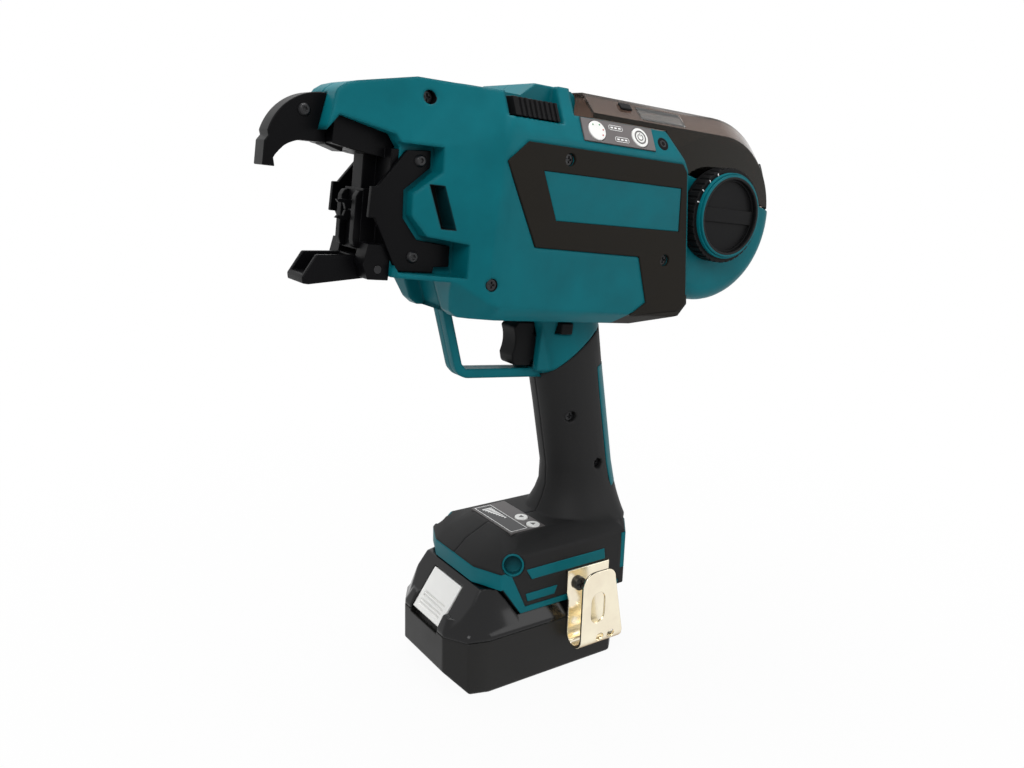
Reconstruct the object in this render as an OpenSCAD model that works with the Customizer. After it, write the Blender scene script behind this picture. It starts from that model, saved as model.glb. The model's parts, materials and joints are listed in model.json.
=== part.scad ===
// Battery rebar tying tool, standing on its battery.
// Millimetres. X runs from the nose to the rear, Y across, Z up.
// The origin is the middle of the battery's base.
// The barrel is drawn in its own frame (u along it, y across, w up from its zero line)
// and tilted into place.

/* [Stance] */
// Place of the barrel's zero point behind the middle of the battery
barrel_x = 9; // [7:0.5:11]
// Nose-up tilt of the barrel when the battery stands flat, in degrees
barrel_tilt = 5.7; // [4.5:0.1:7]
// Height of the barrel's zero line above the floor, over the origin
barrel_z = 205; // [202:0.5:210]

/* [Barrel] */
// Half width of the barrel across its flanks
body_hw = 42; // [41:0.5:45]
// Height of the barrel's underside
belly_w = 2; // [1:0.5:3]
// Height at which the flanks start to lean in
crease_w = 94.5; // [93.5:0.5:96]
// Steepness of the leaning flank, in degrees
lean_a = 61; // [58:0.5:64]
// Height of the roof ahead of the reel cover
roof_w = 115; // [113:0.5:117]
// Height of the deck under the reel cover
deck_w = 108.5; // [108:0.5:109.5]
// Rear end of the barrel at its underside
tail_u = 85; // [82:0.5:88]
// Wall of the mouldings
wall = 3; // [2.5:0.1:3.5]

/* [Nose and jaw] */
// Front end of the nose
nose_u = -138; // [-142:0.5:-134]
// Half width of the nose at its front
nose_hw = 16.5; // [15.5:0.5:18]
// Height of the nose's lower front corner
nose_low = 85.5; // [84.5:0.5:87]
// Height of the nose's upper front corner
nose_top = 106; // [105:0.5:108]
// Front wall of the barrel behind the jaw
front_u = -100; // [-102:0.5:-98.5]
// Height of the twisting axis
axis_w = 50; // [49:0.5:51]
// Half width of the curved upper arm
arm_hw = 6; // [5.5:0.5:7]
// Half width of the lower arm
trough_hw = 10; // [9:0.5:10.5]
// Reach of the arms ahead of the front wall
arm_reach = 60; // [56:1:63]
// Thickness of the cheek plates
cheek_t = 3; // [2.5:0.25:3.5]
// Radius of the twister shaft
twister_r = 5; // [4:0.25:5.5]

/* [Reel bay] */
// Place of the reel axis along the barrel
reel_u = 102; // [101:0.5:104]
// Height of the reel axis
reel_w = 67; // [66.5:0.5:68]
// Outer radius of the round reel cover
cover_r = 55; // [54.5:0.5:56.5]
// Outer radius of the reel case below it
case_r = 51.5; // [51:0.5:52.5]
// Half width of the reel bay
bay_hw = 34; // [33:0.5:35.5]
// Wall of the reel cover and the reel case
bay_wall = 2.4; // [2:0.1:2.8]
// Radius of the reel spindle
spindle_r = 8; // [7:0.5:9]
// Radius of the reel's flanges
reel_r = 44.5; // [43:0.5:45]
// Radius of the ribbed knob
knob_r = 27; // [25.5:0.5:27.5]
// Diameter of the drawn wire on the reel
wire_d = 1.5; // [1.2:0.1:1.6]
// Turns of the drawn outer layer of wire
wire_turns = 24; // [12:1:24]

/* [Grip, trigger and foot] */
// Half width of the grip
grip_hw = 18; // [16.5:0.5:19]
// Half depth of the grip
grip_hd = 22; // [21:0.5:24]
// Backward lean of the grip, in degrees
grip_lean = 10.5; // [9.5:0.25:11.5]
// Height of the foot's flat top
foot_top = 83.5; // [82.5:0.5:85]
// Height of the foot's lower edge
foot_low = 42.5; // [42:0.5:43.5]
// Half width of the foot
foot_hw = 38; // [37:0.5:39]
// Half width of the trigger guard
guard_hw = 5; // [4.5:0.5:6.5]
// Travel of the trigger
trigger_travel = 6; // [4:0.5:6.5]
// Half width of the trigger
trigger_hw = 7; // [6:0.25:7.5]

/* [Buttons] */
// Radius of the two keypad buttons
key_r = 5.5; // [4.5:0.25:5.75]
// Radius of the two display buttons
arrow_r = 4; // [3:0.25:4.5]
// Travel of the keypad and display buttons
key_travel = 0.8; // [0.5:0.1:1]

/* [Battery] */
// Length of the battery
batt_len = 113; // [111:1:116]
// Width of the battery
batt_w = 79; // [78:0.5:80]
// Height of the seam between the battery's two mouldings
batt_seam = 32; // [31:0.5:33]
// Half width of the flat front of the battery
batt_front_hw = 22.5; // [20:0.5:25]

/* [Clearances] */
// Gap between mouldings that lie in each other's pockets
fit_gap = 0.3; // [0.2:0.05:0.4]
// Radial gap of a running pin
pin_gap = 0.05; // [0.02:0.01:0.08]

/* [Hidden] */
$fn = 64;

teal = "#0f7f8c";
black = "#1d1d1f";
grey = "#3b3836";
steel = "#b9bcc0";

// Overall reach of cutting tools, past every surface
far = 400;

// Heights and places that follow from the sizes above
crown_w = reel_w + cover_r;
hinge_u = reel_u - 105;
hinge_w = crown_w - 5.5;
hinge_r = 5.2;
hinge_pin_r = 1.5;
lug_in = 14;
lug_out = 19;
crease_u = front_u + 3;
crease_hw = nose_hw + 10.5;
flank_u = front_u + 45;
flank_r = 5;
bay_w = crease_w - 5.5;
bay_slope = 0.2;
deck_end_u = tail_u - 30.5;
tail_lean = 17;
case_gap = 0.4;
floor_w = belly_w + 5;
chin_w = nose_low - 62;
chin_u = front_u + 24;
guard_u = chin_u + 14;
cave_hw = 18;
cave_u = front_u + 60;
main_hw = body_hw - 5;
main_end_u = reel_u - case_r - 4;
main_top_w = deck_w - 5.1;
slot_hw = arm_hw + fit_gap;
frame_hw = 14;
cheek_in = cave_hw + wall;
panel_t = 2.2;
panel_sink = 1.5;

// Half width of the leaning flank at a height
function lean_hw(w) = body_hw - (w - crease_w) / tan(lean_a);

// Points of an arc about c, both ends included
function arc(c, r, a0, a1, n = 8) =
    [for (i = [0:n]) c + r * [cos(a0 + (a1 - a0) * i / n), sin(a0 + (a1 - a0) * i / n)]];

// Closed solid through a stack of rings that all have the same number of points
module skin(rings) {
    n = len(rings[0]);
    m = len(rings);
    points = [for (r = rings) for (p = r) p];
    sides = [for (i = [0:m - 2]) for (j = [0:n - 1]) for (k = [0:1])
        let (a = i * n + j, b = i * n + (j + 1) % n, c = b + n, d = a + n)
        k == 0 ? [a, b, c] : [a, c, d]];
    front = [for (j = [n - 1:-1:0]) j];
    back = [for (j = [0:n - 1]) (m - 1) * n + j];
    polyhedron(points, concat([front, back], sides));
}

// Barrel frame
module in_barrel() {
    translate([barrel_x, 0, barrel_z]) rotate([0, barrel_tilt, 0]) children();
}

// Upright frame of the grip and the foot
module in_body() {
    translate([barrel_x, 0, 0]) children();
}

// Outline in (u, w), drawn out evenly to both sides of the middle plane
module along_y(width) {
    rotate([90, 0, 0]) linear_extrude(width, center = true) children();
}

// Outline in (u, w), drawn out on one side (-1 left, 1 right) between two distances from the middle
module on_side(side, from, to) {
    translate([0, side * (from + to) / 2, 0]) along_y(abs(to - from)) children();
}

// Section in (y, w), drawn out along the barrel
module along_u(from, to) {
    translate([from, 0, 0]) rotate([90, 0, 90]) linear_extrude(to - from) children();
}

// Box between two corners
module block(a, b) {
    translate(a) cube(b - a);
}

// Round bar across the barrel, along it, and upright in it
module bar_y(u, w, r, y0, y1) {
    translate([u, y0, w]) rotate([-90, 0, 0]) cylinder(r = r, h = y1 - y0);
}
module bar_u(w, r, u0, u1) {
    translate([u0, 0, w]) rotate([0, 90, 0]) cylinder(r = r, h = u1 - u0);
}
module bar_w(u, y, r, w0, w1) {
    translate([u, y, w0]) cylinder(r = r, h = w1 - w0);
}

// One side of the middle plane
module half(side) {
    intersection() {
        children();
        block([-far, side < 0 ? -far : 0, -far], [far, side < 0 ? 0 : far, far]);
    }
}

// Frame on the left leaning flank: u along, y up the slope, z outwards
module on_lean() {
    translate([0, -body_hw, crease_w]) rotate([lean_a, 0, 0]) children();
}

// Barrel sections, from the nose to the rear
function barrel_ring(u, hw, low, crease, top_hw, bevel = [flank_r, flank_r]) = [
    for (p = [[-hw, low + bevel.y], [-hw, crease], [-top_hw, crown_w], [top_hw, crown_w],
              [hw, crease], [hw, low + bevel.y], [hw - bevel.x, low], [bevel.x - hw, low]])
        [u, p.x, p.y]
];
// Share of the way from the crease to the full flank at which the chin's taper ends
chin_part = 0.64;
function at_chin(a, b) = a + (b - a) * chin_part;
module barrel_body() {
    skin([
        barrel_ring(nose_u - 3, nose_hw - 1, nose_low - 1, nose_top - 9, nose_hw - 10),
        barrel_ring(crease_u, crease_hw, belly_w, nose_low - 2.5, crease_hw - 7, [10, 19]),
        barrel_ring(at_chin(crease_u, flank_u), at_chin(crease_hw, body_hw - 0.5), belly_w,
                    at_chin(nose_low - 2.5, nose_low + 2.5), at_chin(crease_hw - 7, body_hw - 17),
                        [17, 19]),
        barrel_ring(flank_u, body_hw - 0.5, belly_w, nose_low + 2.5, body_hw - 17, [10, 10]),
        barrel_ring(flank_u + 7, body_hw, belly_w, crease_w, lean_hw(crown_w), [8, 8]),
        barrel_ring(tail_u + 5, body_hw, belly_w, crease_w, lean_hw(crown_w))
    ]);
}

// Side view of the housing
housing_outline = [
    [nose_u + 2.5, nose_low], [nose_u + 8, nose_low + 7.5], [front_u - 4, nose_low + 2],
    [front_u, nose_low - 3.5], [front_u, chin_w - 3], [chin_u + 3, chin_w - 3],
    [guard_u - 4.5, belly_w + 3], [guard_u, belly_w],
    [tail_u - 40, belly_w], [tail_u - 9, belly_w + 6], [tail_u - 3.4, belly_w + 13],
    [tail_u - tail_lean, bay_w], [deck_end_u, deck_w],
    [hinge_u - 6.5, deck_w], [hinge_u - 6.5, crown_w], [hinge_u - 25, crown_w],
    [hinge_u - 33, roof_w], [crease_u + 3, roof_w], [nose_u + 16, nose_top + 3.2],
    [nose_u + 11, nose_top + 1.5], [nose_u + 7.5, nose_top - 1], [nose_u + 6, nose_top - 3.5]
];

// Side view of a cheek plate, and of its pocket in the housing
cheek_outline = [
    [front_u + 3, nose_low - 4.5], [front_u + 15.5, nose_low - 3.5], [front_u + 16, nose_low - 11.5],
    [front_u + 2.7, axis_w + 12.3], [front_u + 3.5, axis_w - 0.8], [front_u + 12, axis_w - 10.7],
    [front_u + 31, axis_w - 12.6], [front_u + 31.5, chin_w + 3.5], [front_u + 23, chin_w + 3],
    [front_u + 22.5, chin_w], [front_u + 3, chin_w], [front_u + 1, chin_w + 2.5],
    [front_u - 11, axis_w - 2], [front_u - 14.5, axis_w - 2], [front_u - 14, axis_w + 12.6],
    [front_u - 11, axis_w + 12.8]
];
pocket_outline = [
    [front_u - 6, nose_low - 1.5], [front_u + 18, nose_low - 1.5], [front_u + 18.5, nose_low - 13],
    [front_u + 5.5, axis_w + 11], [front_u + 6, axis_w + 0.5], [front_u + 14, axis_w - 8.5],
    [front_u + 34, axis_w - 10.5], [front_u + 34.5, chin_w - 0.5], [front_u + 2.5, chin_w - 0.5],
    [front_u + 0.4, chin_w + 2.2], [front_u - 6, chin_w + 14]
];
cheek_bolts = [[front_u + 10, nose_low - 8.8], [front_u + 10.3, chin_w + 7.3]];
cheek_bolt_r = 1.5;

// Side view of the panel on each flank, of the plate inside it, and the screw places
panel_outline = [
    [flank_u + 3, crease_w - 13], [flank_u + 14, crease_w - 2.5], [deck_end_u + 9, crease_w - 2.5],
    [deck_end_u + 12.5, bay_w - 1], [tail_u - 5, belly_w + 15], [tail_u - 10, belly_w + 9],
    [tail_u - 46, belly_w + 5.5], [tail_u - 35.5, belly_w + 13], [tail_u - 45, belly_w + 38],
    [flank_u + 25, belly_w + 39]
];
plate_outline = [
    [flank_u + 25, crease_w - 15.5], [deck_end_u + 10, crease_w - 15.5],
    [deck_end_u + 12.5, crease_w - 39], [flank_u + 36, crease_w - 39.5]
];
panel_holes = [[flank_u + 40.5, crease_w - 8.5], [tail_u - 25.5, belly_w + 37]];
deep_screws = [[front_u + 12.5, roof_w - 8.5]];
belly_screw = [flank_u + 2, belly_w + 18.8];
screw_well_r = 3.2;
screw_head_r = 2.9;
screw_head_t = 2.2;
well_deep = 3.5;
deep_well_y = 24;

// Lever and feed gears above the twisting motor
feed_u = cave_u + 26;
feed_w0 = main_top_w - 12.4;
feed_w1 = feed_w0 + 8;
gear_teeth = 20;
gear_pitch_r = 10;
gear_off = gear_pitch_r + 0.25;
gear_pin_r = 2;
wire_w = feed_w0 + 4;
lever_u = feed_u - 19;
lever_y = -15;
lever_t = 2.6;
lever_w0 = main_top_w + 0.4;
pad_u0 = feed_u - 33;
pad_u1 = feed_u - 6;
pad_out = lean_hw(roof_w) + 2.5;

// Handle sections, upright in the room: place along X, half depth and half width at a height
function handle_x(z) = 37 - (z - 128) * tan(grip_lean);
function handle_hd(z) = grip_hd + (z > 165 ? (z - 165) * 0.06 : 0)
    + (z < 112 ? pow((112 - z) / 10, 2) * 1.5 : 0);
function handle_hw(z) = grip_hw + (z > 165 ? (z - 165) * 0.05 : 0)
    + (z < 112 ? pow((112 - z) / 10, 2) * 1.2 : 0);
function handle_ring(z, inset = 0, n = 32) = [
    for (i = [0:n - 1])
        let (a = -360 * i / n, c = cos(a), s = sin(a), p = 0.85)
        [handle_x(z) + ((c < 0 ? handle_hd(z) : grip_hd + 0.5) - inset) * sign(c) * pow(abs(c), p),
         (handle_hw(z) - inset) * sign(s) * pow(abs(s), p), z]
];
handle_low = foot_top - 4;
handle_top = barrel_z + 2;
handle_heights = [handle_low, 86, 92, 100, 112, 130, 150, 170, 190, handle_top];
module handle_body() {
    skin([for (z = handle_heights) handle_ring(z)]);
}
handle_cave_hw = 11;
handle_cave_hd = 14;
module handle_cave() {
    translate([handle_x(128), 0, 128]) rotate([0, -grip_lean, 0])
        block([-handle_cave_hd, -handle_cave_hw, 60 - 128],
            [handle_cave_hd, handle_cave_hw, barrel_z - 108]);
}

// Upper part of the handle that belongs to the housing, in the barrel frame
tongue_outline = concat(
    [[-60, 20], [-60, -20], [-9, -20]],
    arc([2, -30], 8, 200, 310),
    [[38, -6], [46, -1.5], [60, -0.5], [60, 20]]
);
module tongue_zone(drop) {
    in_barrel() translate([drop, 0, -drop]) along_y(far) polygon(tongue_outline);
}

// Trigger guard loop
guard_low = -35;
guard_t = 5;
guard_rear_u = 14;
web_u = 3;
web_hw = 12;
guard_corner = 10;
guard_outline = concat(
    [[guard_u + 3.5, belly_w + 1], [guard_u + 8.5, belly_w + 1]],
    [[guard_u + 19, guard_low + guard_t + 3], [guard_u + 22, guard_low + guard_t]],
    [[guard_rear_u, guard_low + guard_t], [guard_rear_u, guard_low]],
    arc([guard_u + 24, guard_low + guard_corner], guard_corner, 270, 200)
);

// Trigger and its lock
trigger_front = -11.5;
trigger_back = 8;
trigger_top = -3;
trigger_low = -28;
lock_u0 = 10;
lock_u1 = 18;
lock_w0 = -7.5;
lock_w1 = -1.2;
lock_hw = 21;

// Keypad on the left leaning flank
key_u0 = hinge_u - 3;
key_len = 49;
key_v0 = 2.5;
key_v1 = 15.5;
key_deep = 3.4;
key_proud = 0.6;
key_v = (key_v0 + key_v1) / 2;
key_us = [key_u0 + 9.5, key_u0 + key_len - 10];

// Module per piece, housing first
module housing(side) {
    half(side) {
        difference() {
            union() {
                in_barrel() {
                    intersection() {
                        barrel_body();
                        along_y(far) polygon(housing_outline);
                    }
                    guard();
                    for (s = [-1, 1])
                        hinge_lug(s);
                }
                intersection() {
                    in_body() handle_body();
                    tongue_zone(0);
                }
            }
            in_barrel() housing_cuts(side);
            in_body() handle_cave();
        }
    }
}
module guard() {
    along_y(2 * guard_hw) polygon(guard_outline);
    block([web_u, -web_hw, guard_low + guard_t], [guard_rear_u, web_hw, belly_w + 1]);
}
module hinge_lug(s) {
    on_side(s, lug_in, lug_out) polygon(concat(
        [[hinge_u - 7, deck_w - 1], [hinge_u + hinge_r, deck_w - 1]],
        arc([hinge_u, hinge_w], hinge_r, 0, 90),
        [[hinge_u - 7, hinge_w + hinge_r]]
    ));
}
module housing_cuts(side) {
    // Bays inside: drive, gears and the upper bay of the lever
    along_u(cave_u, main_end_u) polygon([
        [-main_hw, floor_w], [-main_hw, crease_w - 3], [-main_hw + 6, main_top_w],
        [main_hw - 6, main_top_w], [main_hw, crease_w - 3], [main_hw, floor_w]
    ]);
    block([crease_u, -cave_hw, axis_w - 22], [cave_u + 1, cave_hw, axis_w + 30]);
    bar_u(axis_w, 13, front_u - 1, crease_u + 1);
    block([front_u - 1, -4, wire_w - 4.5], [cave_u + 1, 4, wire_w + 4.5]);
    block([pad_u0 - 3, -pad_out + 5, main_top_w - 1], [feed_u + 13, 3, lever_w0 + lever_t + 0.6]);
    bar_w(lever_u, lever_y, hinge_pin_r + pin_gap, main_top_w - 2, roof_w - 3);
    // Slot in the nose for the arm and the jaw frame
    block([nose_u - 20, -slot_hw, nose_low - 20], [nose_u + 8, slot_hw, nose_top - 3.5]);
    block([nose_u + 7, -frame_hw - fit_gap, nose_low - 20],
        [crease_u + 1, frame_hw + fit_gap, nose_top - 4.7]);
    // Open channel under the front of the belly
    along_y(2 * (cheek_in - 4)) polygon([
        [chin_u - 5, chin_w + 1], [chin_u + 10, chin_w + 1], [guard_u + 5, belly_w + 1.5],
        [guard_u, belly_w - 3], [chin_u - 5, belly_w - 3]
    ]);
    // Bed of the reel case, way of the wire and the hinge pin
    bar_y(reel_u, reel_w, case_r + case_gap, -bay_hw - case_gap, bay_hw + case_gap);
    block([hinge_u + 6, -4, deck_w - 4], [reel_u, 4, deck_w + 1]);
    block([hinge_u + 6, -3, wire_w - 3], [hinge_u + 16, 3, deck_w + 1]);
    bar_y(hinge_u, hinge_w, hinge_pin_r + pin_gap, -lug_out - 1, lug_out + 1);
    // Flank: panel bed, cheek pocket, slanted slot and screw wells
    for (s = [-1, 1]) {
        on_side(s, body_hw - panel_sink, body_hw + 5) polygon(panel_outline);
        on_side(s, cheek_in, body_hw) polygon(pocket_outline);
        on_side(s, cheek_in + 1, body_hw) polygon([
            [front_u + 13, axis_w + 16], [front_u + 20, axis_w + 16],
            [front_u + 27, axis_w - 4], [front_u + 20, axis_w - 4]
        ]);
        for (p = cheek_bolts)
            bar_y(p.x, p.y, cheek_bolt_r + pin_gap, s * cheek_in - 3, s * cheek_in + 3);
        for (p = concat(panel_holes, [belly_screw]))
            bar_y(p.x, p.y, screw_well_r, s * body_hw - well_deep, s * body_hw + well_deep);
        for (p = deep_screws)
            bar_y(p.x, p.y, screw_well_r, s * deep_well_y - 6, s * deep_well_y + 6);
    }
    // Trigger way and lock way
    block([trigger_front - 2, -trigger_hw - fit_gap, trigger_low - 1.5],
          [trigger_back + trigger_travel + 1, trigger_hw + fit_gap, trigger_top + 0.6]);
    block([lock_u0 - fit_gap, -far, lock_w0 - fit_gap], [lock_u1 + fit_gap, far, lock_w1 + fit_gap]);
    if (side < 0) {
        // Keypad bed and lever window, on the left only
        on_lean() block([key_u0 - fit_gap, key_v0 - fit_gap, -key_deep],
                        [key_u0 + key_len + fit_gap, key_v1 + fit_gap, 20]);
        block([pad_u0 - 3, -far, lever_w0 - 0.6], [pad_u1 + 3, -pad_out + 10, far]);
    }
}
module left_housing() { color(teal) housing(-1); }
module right_housing() { color(teal) housing(1); }

// Flank panel with its window, and the bare plate in the window
module side_panel(side) {
    in_barrel() difference() {
        on_side(side, body_hw - panel_sink, body_hw - panel_sink + panel_t) polygon(panel_outline);
        on_side(side, body_hw - panel_sink - 1, body_hw + panel_t) polygon(plate_outline);
        for (p = panel_holes)
            bar_y(p.x, p.y, screw_well_r, side * body_hw - 4, side * body_hw + 4);
    }
}
module nameplate(side) {
    in_barrel() on_side(side, body_hw - panel_sink, body_hw - panel_sink + panel_t - 0.5)
        polygon(plate_outline);
}
module left_side_panel() { color(grey) side_panel(-1); }
module right_side_panel() { color(grey) side_panel(1); }
module left_nameplate() { color(teal) nameplate(-1); }
module right_nameplate() { color(teal) nameplate(1); }

// Foot: plan outline at a height, then the body and the edge that the band follows
foot_front = -46;
foot_rear = 67;
foot_taper = 16;
band_low = foot_low + 17.5;
band_high = band_low + 9.5;
band_t = 1.4;
edge_u0 = -27 - barrel_x;
edge_u1 = -15 - barrel_x;
function foot_ring(z, dx, dy, dr) = [
    for (p = [[foot_front + dx, 20 - dy / 2], [foot_front + dx + 8, foot_hw - dy],
        [foot_rear - dr - foot_taper, foot_hw - dy],
              [foot_rear - dr, foot_hw - dy - 20], [foot_rear - dr, 20 - foot_hw + dy],
              [foot_rear - dr - foot_taper, dy - foot_hw], [foot_front + dx + 8, dy - foot_hw],
                  [foot_front + dx, dy / 2 - 20]])
        [p.x, p.y, z]
];
foot_edge = [
    [foot_front - 20, band_low], [edge_u0, band_low], [edge_u1, foot_low],
    [far, foot_low], [far, far], [foot_front - 20, far]
];
band_edge = [
    [foot_front - 20, band_low], [edge_u0, band_low], [edge_u1, foot_low], [foot_rear - 20, foot_low],
    [foot_rear - 20, foot_low + 3.5], [edge_u1 + 3, foot_low + 3.5], [edge_u0 + 5, band_high - 2],
    [edge_u0 + 1, band_high], [foot_front - 20, band_high]
];
module foot_body() {
    intersection() {
        skin([
            foot_ring(foot_low, 0, 0, 0), foot_ring(band_high, 0, 0, 0),
            foot_ring(foot_top - 6.5, 8, 0.5, 0.5), foot_ring(foot_top, 22, 14, 4)
        ]);
        along_y(far) polygon(foot_edge);
    }
}
// Thin shell zone of the band, just under the foot's surface
module band_zone() {
    intersection() {
        along_y(far) polygon(band_edge);
        difference() {
            skin([foot_ring(foot_low, 0, 0, 0), foot_ring(foot_top, 0, 0, 0)]);
            skin([foot_ring(foot_low - 1, band_t, band_t, band_t),
                foot_ring(foot_top + 1, band_t, band_t, band_t)]);
        }
    }
}
// Blind hole in each front corner of the foot, with its liner
strap_x = foot_front + 17;
strap_y = foot_hw - 2;
strap_z = band_high + 3.1;
strap_turn = 34;
strap_rise = 20;
strap_r = 5;
strap_deep = 13;
liner_t = 1.2;
module strap_bore(r, from, to) {
    for (s = [-1, 1])
        translate([strap_x, s * strap_y, strap_z]) rotate([0, 90 - strap_rise, s * (90 + strap_turn)])
            translate([0, 0, from]) cylinder(r = r, h = to - from);
}

// Bay of the battery's rails under the foot
rail_hw = 26;
rail_top = foot_low + 12.5;
bay_gap = 1.5;
bay_top = rail_top + 4.5;
bay_end = 42;

// Display on the foot
disp_x0 = foot_front + 25;
disp_x1 = disp_x0 + 24;
disp_hw = 21.5;
disp_t = 1.6;
disp_sink = 1.2;
arrow_x = disp_x1 - 5.3;
arrow_ys = [-4.8, -16.8];
arrow_deep = 3.4;

// Screws in the grip, and the inlays
grip_screws = [[22.8, 145.6], [43.6, 113.7]];
grip_well_y = handle_cave_hw + 1.2;
stripe_w = 5;
stripe_t = 1;
hook_x0 = 7.5;
hook_x1 = 38;
hook_t = 1.6;
hook_fold_z = band_high - 9.8;
hook_screw_x = hook_x0 + 8;
hook_screw_z = foot_low + 9.7;
hook_screw_r = 2;
hook_hole_deep = 8;

module rear_stripe() {
    z0 = 95;
    z1 = 172;
    intersection() {
        difference() {
            skin([for (z = handle_heights) handle_ring(z, -0.2)]);
            skin([for (z = handle_heights) handle_ring(z, stripe_t)]);
        }
        translate([handle_x(128), 0, 128]) rotate([0, -grip_lean, 0])
            for (s = [-1, 1])
                translate([grip_hd - 6.5, s * (grip_hw - 5), 0])
                    block([-4, s < 0 ? -20 : -stripe_w, z0 - 128],
                        [stripe_w, s < 0 ? stripe_w : 20, z1 - 128]);
    }
}
module foot_strips() {
    for (s = [-1, 1]) {
        on_side(s, foot_hw - stripe_t, foot_hw + 0.2) polygon([
            [-21, band_high - 0.9], [35, band_high - 0.9], [36, band_high - 7.5], [-17, band_high - 7.5]
        ]);
        on_side(s, foot_hw - stripe_t, foot_hw + 0.2) polygon([
            [-21, band_high - 15.6], [1.3, band_high - 15.6], [-0.8, band_high - 20.6],
                [-19.5, band_high - 20.6]
        ]);
    }
}
module tail_inlays() {
    intersection() {
        difference() {
            skin([foot_ring(foot_low, 0, 0, 0), foot_ring(foot_top, 0, 0, 0)]);
            skin([foot_ring(foot_low - 1, stripe_t, stripe_t, stripe_t),
                foot_ring(foot_top + 1, stripe_t, stripe_t, stripe_t)]);
        }
        for (s = [-1, 1])
            block([foot_rear - foot_taper - 3, s < 0 ? -foot_hw : 14, foot_low + 10.5],
                  [foot_rear - 3, s < 0 ? -14 : foot_hw, foot_top - 8]);
    }
}
module grip(side) {
    half(side) in_body_cut_tongue() difference() {
        union() {
            handle_body();
            foot_body();
        }
        handle_cave();
        band_zone();
        strap_bore(strap_r + liner_t, -strap_deep, strap_deep);
        rear_stripe();
        foot_strips();
        tail_inlays();
        block([foot_front - 30, -rail_hw - bay_gap, foot_low - 5], [bay_end, rail_hw + bay_gap, bay_top]);
        block([disp_x0, -disp_hw, foot_top - disp_sink], [disp_x1, disp_hw, foot_top + 10]);
        for (y = arrow_ys)
            bar_w(arrow_x, y, arrow_r + fit_gap, foot_top - arrow_deep, foot_top + 1);
        for (s = [-1, 1]) {
            for (p = grip_screws)
                bar_y(p.x, p.y, screw_well_r, s * grip_well_y - (s < 0 ? 20 : 0),
                    s * grip_well_y + (s < 0 ? 0 : 20));
            bar_y(hook_screw_x, hook_screw_z, hook_screw_r + pin_gap,
                  s < 0 ? -foot_hw - 1 : foot_hw - hook_hole_deep,
                      s < 0 ? hook_hole_deep - foot_hw : foot_hw + 1);
            block([hook_x0 - fit_gap, s < 0 ? -foot_hw - 1 : foot_hw - 2, hook_fold_z],
                  [hook_x1 + fit_gap, s < 0 ? 2 - foot_hw : foot_hw + 1, hook_fold_z + hook_t]);
        }
    }
}
// Upright frame, less the part of the handle that belongs to the housing
module in_body_cut_tongue() {
    difference() {
        in_body() children();
        tongue_zone(0.1);
        in_barrel() along_y(far) polygon(housing_outline);
        in_barrel() guard();
    }
}
module left_grip() { color(black) grip(-1); }
module right_grip() { color(black) grip(1); }

module foot_band() {
    color(teal) in_body() {
        difference() {
            band_zone();
            strap_bore(strap_r + liner_t, -strap_deep, strap_deep);
        }
        difference() {
            strap_bore(strap_r + liner_t, -strap_deep, 0);
            strap_bore(strap_r, liner_t - strap_deep, 1);
        }
    }
}
module trim_inlays() {
    color(teal) in_body() {
        rear_stripe();
        difference() {
            foot_strips();
            block([hook_x0 - 1, -far, 0], [hook_x1 + 1, 0, hook_fold_z + hook_t + 0.4]);
        }
        tail_inlays();
    }
}

// Round reel case: lower part of a drum with rounded edges
case_edge = 10;
case_profile = concat(
    [[0, -bay_hw]], arc([case_r - case_edge, case_edge - bay_hw], case_edge, -90, 0),
    arc([case_r - case_edge, bay_hw - case_edge], case_edge, 0, 90), [[0, bay_hw]]
);
case_inner = concat(
    [[0, bay_wall - bay_hw]], arc([case_r - case_edge, case_edge - bay_hw], case_edge - bay_wall, -90, 0),
    arc([case_r - case_edge, bay_hw - case_edge], case_edge - bay_wall, 0, 90), [[0, bay_hw - bay_wall]]
);
module drum(profile) {
    translate([reel_u, 0, reel_w]) rotate([90, 0, 0]) rotate_extrude($fn = 128) polygon(profile);
}
// Line where the cover meets the case and the housing
function part_w(u) = bay_w - bay_slope * (u - (tail_u - tail_lean));
case_zone = [
    [reel_u - 70, -20], [reel_u + 70, -20], [reel_u + 70, part_w(reel_u + 70)],
    [reel_u - 70, part_w(reel_u - 70)]
];
module reel_case() {
    color(teal) in_barrel() difference() {
        intersection() {
            drum(case_profile);
            along_y(far) polygon(case_zone);
        }
        drum(case_inner);
        bar_y(reel_u, reel_w, spindle_r + pin_gap, -bay_hw - 1, bay_hw + 1);
    }
}
spindle_end = bay_hw + 8;
flange_in = bay_hw - bay_wall;
module reel_spindle() {
    color(steel) in_barrel() {
        bar_y(reel_u, reel_w, spindle_r, -spindle_end, bay_hw);
        bar_y(reel_u, reel_w, spindle_r + 6, flange_in - 2, flange_in);
    }
}

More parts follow.
